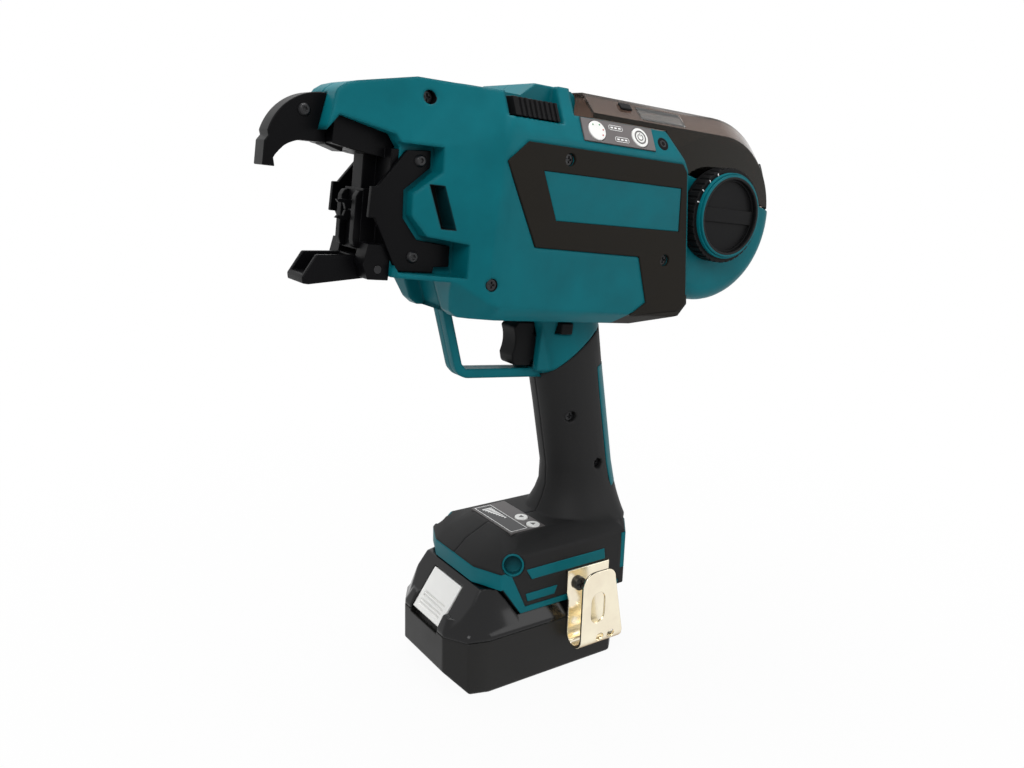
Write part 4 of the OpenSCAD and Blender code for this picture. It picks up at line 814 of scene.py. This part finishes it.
def rounded(node, radius, finish, segments=2, beside=None):
    """A copy of a CAD node with its outer edges rounded, which stands for the node.

    Edges whose rounding would run away from a cramped corner, or cut through another, stay sharp. So do the
    edges beside a piece that slides close to them.
    """
    left_sharp = set()
    for attempt in range(ROUNDING_TRIES):
        bm, sharp = cleaned(node)
        if beside:
            left_sharp |= edges_beside(bm, beside, SLIDE_REACH)
        edges = [bm.edges[number] for number in sorted(sharp - left_sharp)]
        corners = sorted({vert for edge in edges for vert in edge.verts}, key=lambda vert: vert.index)
        owners = [[edge.index for edge in vert.link_edges] for vert in corners]
        tree = KDTree(len(corners))
        for number, vert in enumerate(corners):
            tree.insert(vert.co, number)
        tree.balance()
        made = bmesh.ops.bevel(
            bm, geom=edges, offset=radius, offset_type="OFFSET", affect="EDGES", segments=segments,
            profile=0.5, material=-1, clamp_overlap=False, loop_slide=True)
        astray = [vert for vert in made["verts"] if tree.find(vert.co)[2] > STRAY_RADII * radius]
        suspects = [edge.other_vert(vert) for vert in astray for edge in vert.link_edges]
        bm.verts.index_update()
        bm.verts.ensure_lookup_table()
        suspects += [bm.verts[number] for number in crossed(bm)]
        cramped = {number for vert in suspects for number in owners[tree.find(vert.co)[1]]} & sharp
        if cramped <= left_sharp or attempt == ROUNDING_TRIES - 1:
            break
        left_sharp |= cramped
        bm.free()
    piece = new_piece(bm, node + "_piece", BODY_OF[node], finish)
    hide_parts(node)


def dress(finish, *nodes):
    """Gives CAD nodes whose shape stays as it is their finish."""
    for node in nodes:
        slots = frame["nodes"][node].data.materials
        slots.clear()
        slots.append(finish_named(finish))


def flat_bar(bm, centre, size, height, place):
    """Adds a thin printed bar on the plane of place, with its edges broken."""
    stretch = Matrix.Diagonal((size[0], size[1], height, 1))
    start = Matrix.Translation((centre[0], centre[1], height / 2)) @ stretch
    made = bmesh.ops.create_cube(bm, size=1, matrix=place @ start)
    edges = list({edge for vert in made["verts"] for edge in vert.link_edges})
    bmesh.ops.bevel(
        bm, geom=edges, offset=height * MARK_EDGE, affect="EDGES", segments=1, profile=0.5, material=-1)


def flat_ring(bm, centre, radii, height, place, start=0.0, sweep=FULL_TURN, steps=40):
    """Adds a thin printed ring, or part of one, by spinning its cross-section."""
    inner, outer = radii
    turn = place @ Matrix.Translation((centre[0], centre[1], 0))
    first = turn @ Matrix.Rotation(start, 4, "Z")
    corners = [(inner, 0), (outer, 0), (outer, height), (inner, height)]
    face = bm.faces.new([bm.verts.new(first @ Vector((x, 0, z))) for x, z in corners])
    full = sweep == FULL_TURN
    axis = turn.to_3x3() @ Vector((0, 0, 1))
    bmesh.ops.spin(
        bm, geom=list(face.edges) if full else [face], cent=turn.translation, axis=axis, angle=sweep,
        steps=steps, use_merge=full)
    if full:
        bmesh.ops.delete(bm, geom=[face], context="FACES_ONLY")


def flat_disc(bm, centre, radius, height, place, sides=28, turn=0.0):
    """Adds a thin printed disc with a little draft, or a triangle where it has three sides."""
    start = place @ Matrix.Translation((centre[0], centre[1], height / 2)) @ Matrix.Rotation(turn, 4, "Z")
    bmesh.ops.create_cone(
        bm, cap_ends=True, segments=sides, radius1=radius, radius2=radius * MARK_TAPER, depth=height,
        matrix=start)


def print_height():
    """How far printed marks stand out."""
    return bpy.context.scene.tool_pieces.print_height


def printed(name, draw, body, finish):
    """Makes a piece of the marks that draw puts into an empty bmesh."""
    bm = bmesh.new()
    draw(bm)
    bmesh.ops.recalc_face_normals(bm, faces=bm.faces)
    new_piece(bm, name, body, finish)


class TYINGTOOL_OT_housing(Operator):
    """Rounds the housing halves, their side panels and plates"""

    bl_idname = "tying_tool.housing"
    bl_label = "Housing"

    def execute(self, context):
        for side in ("left", "right"):
            rounded(side + "_housing", 1.0 * MM, "housing_moulding", segments=3)
            rounded(side + "_side_panel", 0.6 * MM, "panel_elastomer")
            rounded(side + "_nameplate", 0.35 * MM, "teal_moulding")
        return {"FINISHED"}


class TYINGTOOL_OT_grip(Operator):
    """Rounds the handle's grips, the foot's band and the inlays"""

    bl_idname = "tying_tool.grip"
    bl_label = "Grip and foot"

    def execute(self, context):
        for side in ("left", "right"):
            rounded(side + "_grip", 0.8 * MM, "grip_elastomer", segments=3)
        rounded("foot_band", 0.35 * MM, "teal_moulding")
        rounded("trim_inlays", 0.2 * MM, "teal_moulding")
        return {"FINISHED"}


class TYINGTOOL_OT_jaw(Operator):
    """Rounds the blackened metal of the jaw"""

    bl_idname = "tying_tool.jaw"
    bl_label = "Jaw"

    def execute(self, context):
        rounded("jaw_frame", 0.4 * MM, "jaw_metal")
        rounded("upper_arm", 0.5 * MM, "jaw_metal", segments=3)
        rounded("lower_arm", 0.6 * MM, "jaw_metal", segments=3)
        rounded("wire_guides", 0.3 * MM, "jaw_metal")
        for side in ("left", "right"):
            rounded(side + "_cheek_plate", 0.5 * MM, "jaw_metal")
        dress("jaw_metal", "twister_hooks", "cutter_blade")
        return {"FINISHED"}


class TYINGTOOL_OT_fasteners(Operator):
    """Rounds the screws, adds the one behind the keypad over a dark disc painted as the shade of its well,
    and gives the pins their finish
    """

    bl_idname = "tying_tool.fasteners"
    bl_label = "Screws and pins"

    deck_screw = (50.1 * MM, 7.9 * MM)
    # Radius of the flat dark disc painted as the shade inside that screw's well
    deck_shade_radius = 3.8 * MM
    deck_head_radii = (1.3 * MM, 2.0 * MM)
    deck_head_rise = 1.5

    def deck_well_shade(self, bm):
        """A flat dark disc painted as the shade inside the well of the screw behind the keypad."""
        flat_disc(bm, self.deck_screw, self.deck_shade_radius, print_height(), LEAN, sides=40)

    def deck_head(self, bm):
        """The head of that screw, a low ring that stands a little out of the disc."""
        flat_ring(bm, self.deck_screw, self.deck_head_radii, print_height() * self.deck_head_rise, LEAN)

    def execute(self, context):
        # Painted shade: a dark disc where the screw's well is
        printed("deck_screw_well_shade", self.deck_well_shade, "body", "jaw_metal")
        printed("deck_screw_head", self.deck_head, "body", "black_oxide")
        rounded("jaw_screws", 0.25 * MM, "black_oxide")
        rounded("housing_screws", 0.2 * MM, "black_oxide")
        dress("black_oxide", "cover_hinge_pin", "lower_arm_pin", "lever_pin")
        return {"FINISHED"}


class TYINGTOOL_OT_reel(Operator):
    """Builds the reel bay: case, smoked cover, window, knob, spool and the wound wire"""

    bl_idname = "tying_tool.reel"
    bl_label = "Reel bay"

    wire_radius = 0.75 * MM
    layer_radius = 37.75 * MM
    half_width = 25.4 * MM
    wire_sides = 10

    # Setting marks on the knob's flange: its height, their distance from the axle, size and turns in degrees
    flange_height = 43.6 * MM
    tick_radius = 25.0 * MM
    tick_size = (1.7 * MM, 0.7 * MM)
    tick_turns = (118, 134, 150, 166)

    def wind(self, size):
        """Spins a round of wire along the spool, one unbroken tube from flange to flange."""
        bm = bmesh.new()
        start = REEL @ Matrix.Translation((self.layer_radius, self.wire_radius - self.half_width, 0))
        ring = bmesh.ops.create_circle(bm, segments=self.wire_sides, radius=self.wire_radius, matrix=start)
        steps = size.wire_turns * size.wire_steps
        run = 2 * (self.half_width - self.wire_radius)
        edges = list({edge for vert in ring["verts"] for edge in vert.link_edges})
        bmesh.ops.spin(
            bm, geom=ring["verts"] + edges, cent=REEL.translation, axis=(0, 1, 0), dvec=(0, run / steps, 0),
            angle=FULL_TURN * size.wire_turns, steps=steps, use_merge=False)
        bmesh.ops.holes_fill(bm, edges=[edge for edge in bm.edges if edge.is_boundary], sides=self.wire_sides)
        bmesh.ops.recalc_face_normals(bm, faces=bm.faces)
        piece = new_piece(bm, "wound_wire", "reel", "wire_steel", WIRE_SMOOTH_BELOW)
        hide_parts("wire_winding")

    def ticks(self, bm):
        """Setting marks round the knob's flange."""
        lift = Matrix.Translation((0, 0, self.flange_height))
        for turn in self.tick_turns:
            flange = KNOB @ Matrix.Rotation(math.radians(turn), 4, "Z") @ lift
            flat_bar(bm, (self.tick_radius, 0), self.tick_size, print_height(), flange)

    def execute(self, context):
        rounded("reel_case", 0.6 * MM, "teal_moulding")
        rounded("reel_cover", 0.5 * MM, "smoked_clear")
        rounded("cover_lip", 0.5 * MM, "black_moulding")
        rounded("cover_window", 0.5 * MM, "window_clear")
        rounded("cover_catch", 0.6 * MM, "black_moulding", segments=3)
        rounded("reel_knob", 0.25 * MM, "knob_moulding")
        rounded("knob_ring", 0.3 * MM, "ring_moulding")
        dress("spool_red", "wire_reel")
        dress("wire_steel", "wire_core")
        dress("bright_steel", "reel_spindle")
        self.wind(context.scene.tool_pieces)
        printed("knob_ticks", self.ticks, "knob", "printed_white")
        return {"FINISHED"}


class TYINGTOOL_OT_controls(Operator):
    """Builds the keypad, the display, the trigger and the lever, with generic marks on the keys"""

    bl_idname = "tying_tool.controls"
    bl_label = "Controls"

    # The keypad on the leaning flank, and the middles of its two keys
    pad_top = 0.6 * MM
    key_top = 1.0 * MM
    mode_key = (3.5 * MM, 9 * MM)
    power_key = (33 * MM, 9 * MM)

    # The power sign: a ring round it, its broken ring and the bar in the gap
    key_ring = (3.1 * MM, 3.9 * MM)
    sign_ring = (1.5 * MM, 2.0 * MM)
    sign_gap = math.radians(60)
    sign_bar = (0.5 * MM, 1.9 * MM)
    sign_bar_rise = 1.5 * MM

    # Lamps round the mode key, with their turns in degrees
    lamp_circle = 3.9 * MM
    lamp_radius = 0.45 * MM
    green_turns = (60, 130)
    red_turns = (10, -40)

    # Two rows of three dashes, each row in a bracket of long and short lines
    dash_rows = ((16.7 * MM, 12.2 * MM), (19.7 * MM, 5.8 * MM))
    dash_size = (1.7 * MM, 0.9 * MM)
    dash_pitch = 2.6 * MM
    bracket_half = (4.6 * MM, 1.3 * MM)
    bracket_long = (8.4 * MM, 0.3 * MM)
    bracket_short = (0.3 * MM, 2.0 * MM)

    # The display on the foot, and its two arrow keys
    display_top = 83.9 * MM
    arrow_top = 84.4 * MM
    arrow_x = -2.3 * MM
    arrow_ys = {"down": -4.8 * MM, "up": -16.8 * MM}
    arrow_turns = {"down": math.radians(90), "up": math.radians(-90)}
    arrow_radius = 1.9 * MM

    # The screen, the line round it and the ramp of bars that get shorter towards the tool's left
    screen_low = Vector((-19.4 * MM, -19.6 * MM))
    screen_high = Vector((-8.4 * MM, 19.6 * MM))
    line_width = 0.45 * MM
    line_gap = 0.04 * MM
    ramp_bars = 9
    ramp_inset = (1.8 * MM, 4.2 * MM)
    ramp_pitch = 2.0 * MM
    ramp_longest = 6.6 * MM
    ramp_fall = 0.65 * MM
    ramp_bar_width = 1.3 * MM

    def power_mark(self, bm):
        """A ring and the usual power sign."""
        plane = LEAN @ Matrix.Translation((0, 0, self.key_top))
        start = math.radians(90) + self.sign_gap / 2
        flat_ring(bm, self.power_key, self.key_ring, print_height(), plane)
        flat_ring(
            bm, self.power_key, self.sign_ring, print_height(), plane, start, FULL_TURN - self.sign_gap)
        u, v = self.power_key
        flat_bar(bm, (u, v + self.sign_bar_rise), self.sign_bar, print_height(), plane)

    def mode_lamps(self, bm, turns):
        """Small lamps round the mode key."""
        plane = LEAN @ Matrix.Translation((0, 0, self.key_top))
        u, v = self.mode_key
        for turn in turns:
            angle = math.radians(turn)
            spot = (u + self.lamp_circle * math.cos(angle), v + self.lamp_circle * math.sin(angle))
            flat_disc(bm, spot, self.lamp_radius, print_height(), plane, sides=16)

    def pad_marks(self, bm):
        """Two rows of plain dashes between the keys, with a bracket round each row."""
        plane = LEAN @ Matrix.Translation((0, 0, self.pad_top))
        reach_u, reach_v = self.bracket_half
        for u, v in self.dash_rows:
            for step in (-1, 0, 1):
                flat_bar(bm, (u + step * self.dash_pitch, v), self.dash_size, print_height(), plane)
            for side in (-1, 1):
                flat_bar(bm, (u, v + side * reach_v), self.bracket_long, print_height(), plane)
                flat_bar(bm, (u + side * reach_u, v), self.bracket_short, print_height(), plane)

    def arrow_mark(self, bm, key):
        """The triangle on an arrow key."""
        plane = FOOT @ Matrix.Translation((0, 0, self.arrow_top))
        spot = (self.arrow_x, self.arrow_ys[key])
        flat_disc(
            bm, spot, self.arrow_radius, print_height(), plane, sides=3, turn=self.arrow_turns[key])

    def screen(self, bm):
        """The screen's dark glass."""
        plane = FOOT @ Matrix.Translation((0, 0, self.display_top))
        middle, span = (self.screen_low + self.screen_high) / 2, self.screen_high - self.screen_low
        flat_bar(bm, middle, span, print_height(), plane)

    def screen_lines(self, bm):
        """A thin white line round the screen and a ramp of bars on it."""
        plane = FOOT @ Matrix.Translation((0, 0, self.display_top + print_height()))
        middle, span = (self.screen_low + self.screen_high) / 2, self.screen_high - self.screen_low
        end_line = (span.x + self.line_width, self.line_width)
        long_line = (self.line_width, span.y - self.line_width - self.line_gap)
        for side in (-1, 1):
            flat_bar(bm, (middle.x, middle.y + side * span.y / 2), end_line, print_height(), plane)
            flat_bar(bm, (middle.x + side * span.x / 2, middle.y), long_line, print_height(), plane)
        start = self.screen_high - Vector(self.ramp_inset)
        for step in range(self.ramp_bars):
            long = self.ramp_longest - self.ramp_fall * step
            spot = (start.x - long / 2, start.y - self.ramp_pitch * step)
            flat_bar(bm, spot, (long, self.ramp_bar_width), print_height(), plane)

    def execute(self, context):
        rounded("keypad", 0.3 * MM, "foil_grey")
        rounded("display_panel", 0.2 * MM, "foil_dark")
        for key in ("mode", "power", "down", "up"):
            rounded(key + "_button", 0.35 * MM, "key_moulding", segments=3)
        rounded("trigger", 1.0 * MM, "black_moulding", segments=3)
        rounded("trigger_lock", 0.7 * MM, "black_moulding", segments=3)
        rounded("release_lever", 0.3 * MM, "black_moulding")
        printed("power_sign", self.power_mark, "power_button", "printed_grey")
        for colour, turns in (("green", self.green_turns), ("red", self.red_turns)):
            printed(
                "mode_lamps_" + colour, lambda bm, turns=turns: self.mode_lamps(bm, turns), "mode_button",
                "lamp_" + colour)
        printed("keypad_marks", self.pad_marks, "body", "printed_white")
        printed("screen", self.screen, "body", "screen_black")
        printed("screen_lines", self.screen_lines, "body", "printed_white")
        for key in ("down", "up"):
            printed(
                key + "_arrow", lambda bm, key=key: self.arrow_mark(bm, key), key + "_button",
                "printed_grey")
        return {"FINISHED"}


class TYINGTOOL_OT_hook(Operator):
    """Rounds the plated belt hook"""

    bl_idname = "tying_tool.hook"
    bl_label = "Belt hook"

    def execute(self, context):
        rounded("belt_hook", 0.35 * MM, "nickel_plate")
        return {"FINISHED"}


class TYINGTOOL_OT_battery(Operator):
    """Rounds the battery's mouldings and its release button"""

    bl_idname = "tying_tool.battery"
    bl_label = "Battery"

    def execute(self, context):
        rounded("battery_case", 0.8 * MM, "battery_case_moulding", segments=3, beside="battery_button")
        rounded("battery_top", 1.0 * MM, "battery_gloss", segments=4)
        rounded("battery_button", 0.5 * MM, "pale_moulding", segments=3)
        dress("cell_sleeve", "battery_cells")
        return {"FINISHED"}


class TYINGTOOL_OT_works(Operator):
    """Gives the drive inside the barrel its finishes"""

    bl_idname = "tying_tool.works"
    bl_label = "Works"

    def execute(self, context):
        dress("cast_alloy", "gear_case", "twist_motor", "feed_motor")
        dress("bright_steel", "feed_gear", "pressure_gear", "twister_shaft")
        dress("drawn_brass", "wire_tube")
        dress("board_green", "control_board", "trigger_switch", "terminal_block")
        return {"FINISHED"}


class TYINGTOOL_OT_stage(Operator):
    """Sets the floor, the soft lamps, the white surroundings and the camera"""

    bl_idname = "tying_tool.stage"
    bl_label = "Stage"

    # The floor keeps a faint shadow near the tool and runs out to white between these distances
    floor_half = 4.0
    floor_grey = (0.6, 0.6, 0.6, 1)
    white = (1, 1, 1, 1)
    shadow_near = 0.10
    shadow_far = 0.55
    near_white = 0.95

    # Places and sizes of the soft lamps, which face the middle of the tool
    lamp_places = {"key": (-0.75, -0.85, 1.05), "fill": (0.85, -0.95, 0.55), "top": (0.05, 0.25, 1.35)}
    lamp_sizes = {"key": 0.7, "fill": 0.8, "top": 0.9}
    tool_middle = Vector((0, 0, 0.17))

    # The camera's sensor in mm, the shift of its lens in sensor widths and its near clip
    sensor_width = 36
    lens_shift = (0.0164, -0.0151)
    near_clip = 0.01

    def seen_ray(self, tree):
        """One for rays that the camera, a reflection or clear plastic sends, else zero."""
        ray = add(tree, "ShaderNodeLightPath")
        total = ray.outputs["Is Camera Ray"]
        for name in ("Is Glossy Ray", "Is Transmission Ray"):
            either = add(tree, "ShaderNodeMath", {"operation": "MAXIMUM"})
            tree.links.new(total, either.inputs[0])
            tree.links.new(ray.outputs[name], either.inputs[1])
            total = either.outputs[0]
        return total

    def floor_finish(self):
        """Pale floor that keeps the tool's shadow near it and runs out to plain white."""
        material = bpy.data.materials.new("Pale floor")
        material.use_nodes = True
        tree = material.node_tree
        tree.nodes.clear()
        out = tree.nodes.new("ShaderNodeOutputMaterial")
        plain = add(tree, "ShaderNodeBsdfDiffuse", Color=self.floor_grey)
        white = add(tree, "ShaderNodeEmission", Color=self.white, Strength=1.0)
        mix = tree.nodes.new("ShaderNodeMixShader")
        place = add(tree, "ShaderNodeTexCoord")
        reach = add(tree, "ShaderNodeVectorMath", {"operation": "LENGTH"})
        fade = add(
            tree, "ShaderNodeMapRange", {"interpolation_type": "SMOOTHSTEP"}, From_Min=self.shadow_near,
            From_Max=self.shadow_far, To_Min=self.near_white, To_Max=1.0)
        share = add(tree, "ShaderNodeMath", {"operation": "MULTIPLY"})
        tree.links.new(place.outputs["Object"], reach.inputs[0])
        tree.links.new(reach.outputs["Value"], fade.inputs["Value"])
        tree.links.new(fade.outputs["Result"], share.inputs[0])
        tree.links.new(self.seen_ray(tree), share.inputs[1])
        tree.links.new(share.outputs[0], mix.inputs["Fac"])
        tree.links.new(plain.outputs[0], mix.inputs[1])
        tree.links.new(white.outputs[0], mix.inputs[2])
        tree.links.new(mix.outputs[0], out.inputs["Surface"])
        return material

    def lay_floor(self):
        """A wide flat floor under the tool."""
        bm = bmesh.new()
        bmesh.ops.create_grid(bm, x_segments=2, y_segments=2, size=self.floor_half)
        mesh = bpy.data.meshes.new("floor")
        bm.to_mesh(mesh)
        bm.free()
        floor = bpy.data.objects.new("floor", mesh)
        bpy.context.scene.collection.objects.link(floor)
        mesh.materials.append(self.floor_finish())

    def surround(self, strength):
        """An even pale room for the light, and plain white where it is seen."""
        world = bpy.data.worlds.new("Studio")
        world.use_nodes = True
        tree = world.node_tree
        room = tree.nodes["Background"]
        room.inputs["Color"].default_value = self.white
        level = add(tree, "ShaderNodeMapRange", To_Min=strength, To_Max=1.0)
        tree.links.new(self.seen_ray(tree), level.inputs["Value"])
        tree.links.new(level.outputs["Result"], room.inputs["Strength"])
        bpy.context.scene.world = world

    def hang_lamp(self, name, power):
        """A square soft lamp that faces the middle of the tool."""
        data = bpy.data.lights.new(name, "AREA")
        data.shape = "SQUARE"
        data.size = self.lamp_sizes[name]
        data.energy = power
        lamp = bpy.data.objects.new(name, data)
        bpy.context.scene.collection.objects.link(lamp)
        lamp.location = self.lamp_places[name]
        facing = self.tool_middle - Vector(self.lamp_places[name])
        lamp.rotation_euler = facing.to_track_quat("-Z", "Y").to_euler()

    def set_camera(self, stage):
        """The photograph's camera from its place, yaw, pitch and roll."""
        yaw, pitch, roll = stage.camera_turn
        ahead = Vector((-math.sin(yaw), math.cos(yaw), 0))
        right = Vector((math.cos(yaw), math.sin(yaw), 0))
        up = Vector((0, 0, 1))
        view = ahead * math.cos(pitch) + up * math.sin(pitch)
        lift = up * math.cos(pitch) - ahead * math.sin(pitch)
        side = right * math.cos(roll) + lift * math.sin(roll)
        top = lift * math.cos(roll) - right * math.sin(roll)
        data = bpy.data.cameras.new("Photograph")
        data.sensor_width = self.sensor_width
        data.lens = stage.focal_length
        data.shift_x, data.shift_y = self.lens_shift
        data.clip_start = self.near_clip
        camera = bpy.data.objects.new("Photograph", data)
        bpy.context.scene.collection.objects.link(camera)
        turn = Matrix((side, top, -view)).transposed().to_4x4()
        camera.matrix_world = Matrix.Translation(stage.camera_place) @ turn
        bpy.context.scene.camera = camera

    def execute(self, context):
        stage = context.scene.tool_stage
        context.scene.view_settings.view_transform = "Standard"
        self.lay_floor()
        self.surround(stage.room_light)
        self.hang_lamp("key", stage.key_power)
        self.hang_lamp("fill", stage.fill_power)
        self.hang_lamp("top", stage.top_power)
        self.set_camera(stage)
        return {"FINISHED"}


OPERATORS = (
    TYINGTOOL_OT_housing, TYINGTOOL_OT_grip, TYINGTOOL_OT_jaw, TYINGTOOL_OT_fasteners, TYINGTOOL_OT_reel,
    TYINGTOOL_OT_controls, TYINGTOOL_OT_hook, TYINGTOOL_OT_battery, TYINGTOOL_OT_works, TYINGTOOL_OT_stage,
)


class TYINGTOOL_PT_panel(Panel):
    """Lists the tool's sizes, colours and building steps."""

    bl_label = "Tying tool"
    bl_idname = "TYINGTOOL_PT_panel"
    bl_space_type = "VIEW_3D"
    bl_region_type = "UI"
    bl_category = "Tying tool"

    def draw(self, context):
        layout = self.layout
        for group in (context.scene.tool_finish, context.scene.tool_pieces, context.scene.tool_stage):
            box = layout.box()
            for key in group.bl_rna.properties.keys():
                if key not in ("rna_type", "name"):
                    box.prop(group, key)
        for operator in OPERATORS:
            layout.operator(operator.bl_idname)


CLASSES = (ToolFinish, ToolPieces, ToolStage, *OPERATORS, TYINGTOOL_PT_panel)


def register():
    for cls in CLASSES:
        bpy.utils.register_class(cls)
    bpy.types.Scene.tool_finish = PointerProperty(type=ToolFinish)
    bpy.types.Scene.tool_pieces = PointerProperty(type=ToolPieces)
    bpy.types.Scene.tool_stage = PointerProperty(type=ToolStage)


def unregister():
    del bpy.types.Scene.tool_stage
    del bpy.types.Scene.tool_pieces
    del bpy.types.Scene.tool_finish
    for cls in reversed(CLASSES):
        bpy.utils.unregister_class(cls)


def main():
    register()
    bpy.ops.tying_tool.housing()
    bpy.ops.tying_tool.grip()
    bpy.ops.tying_tool.jaw()
    bpy.ops.tying_tool.fasteners()
    bpy.ops.tying_tool.reel()
    bpy.ops.tying_tool.controls()
    bpy.ops.tying_tool.hook()
    bpy.ops.tying_tool.battery()
    bpy.ops.tying_tool.works()
    bpy.ops.tying_tool.stage()


if __name__ == "__main__":
    main()
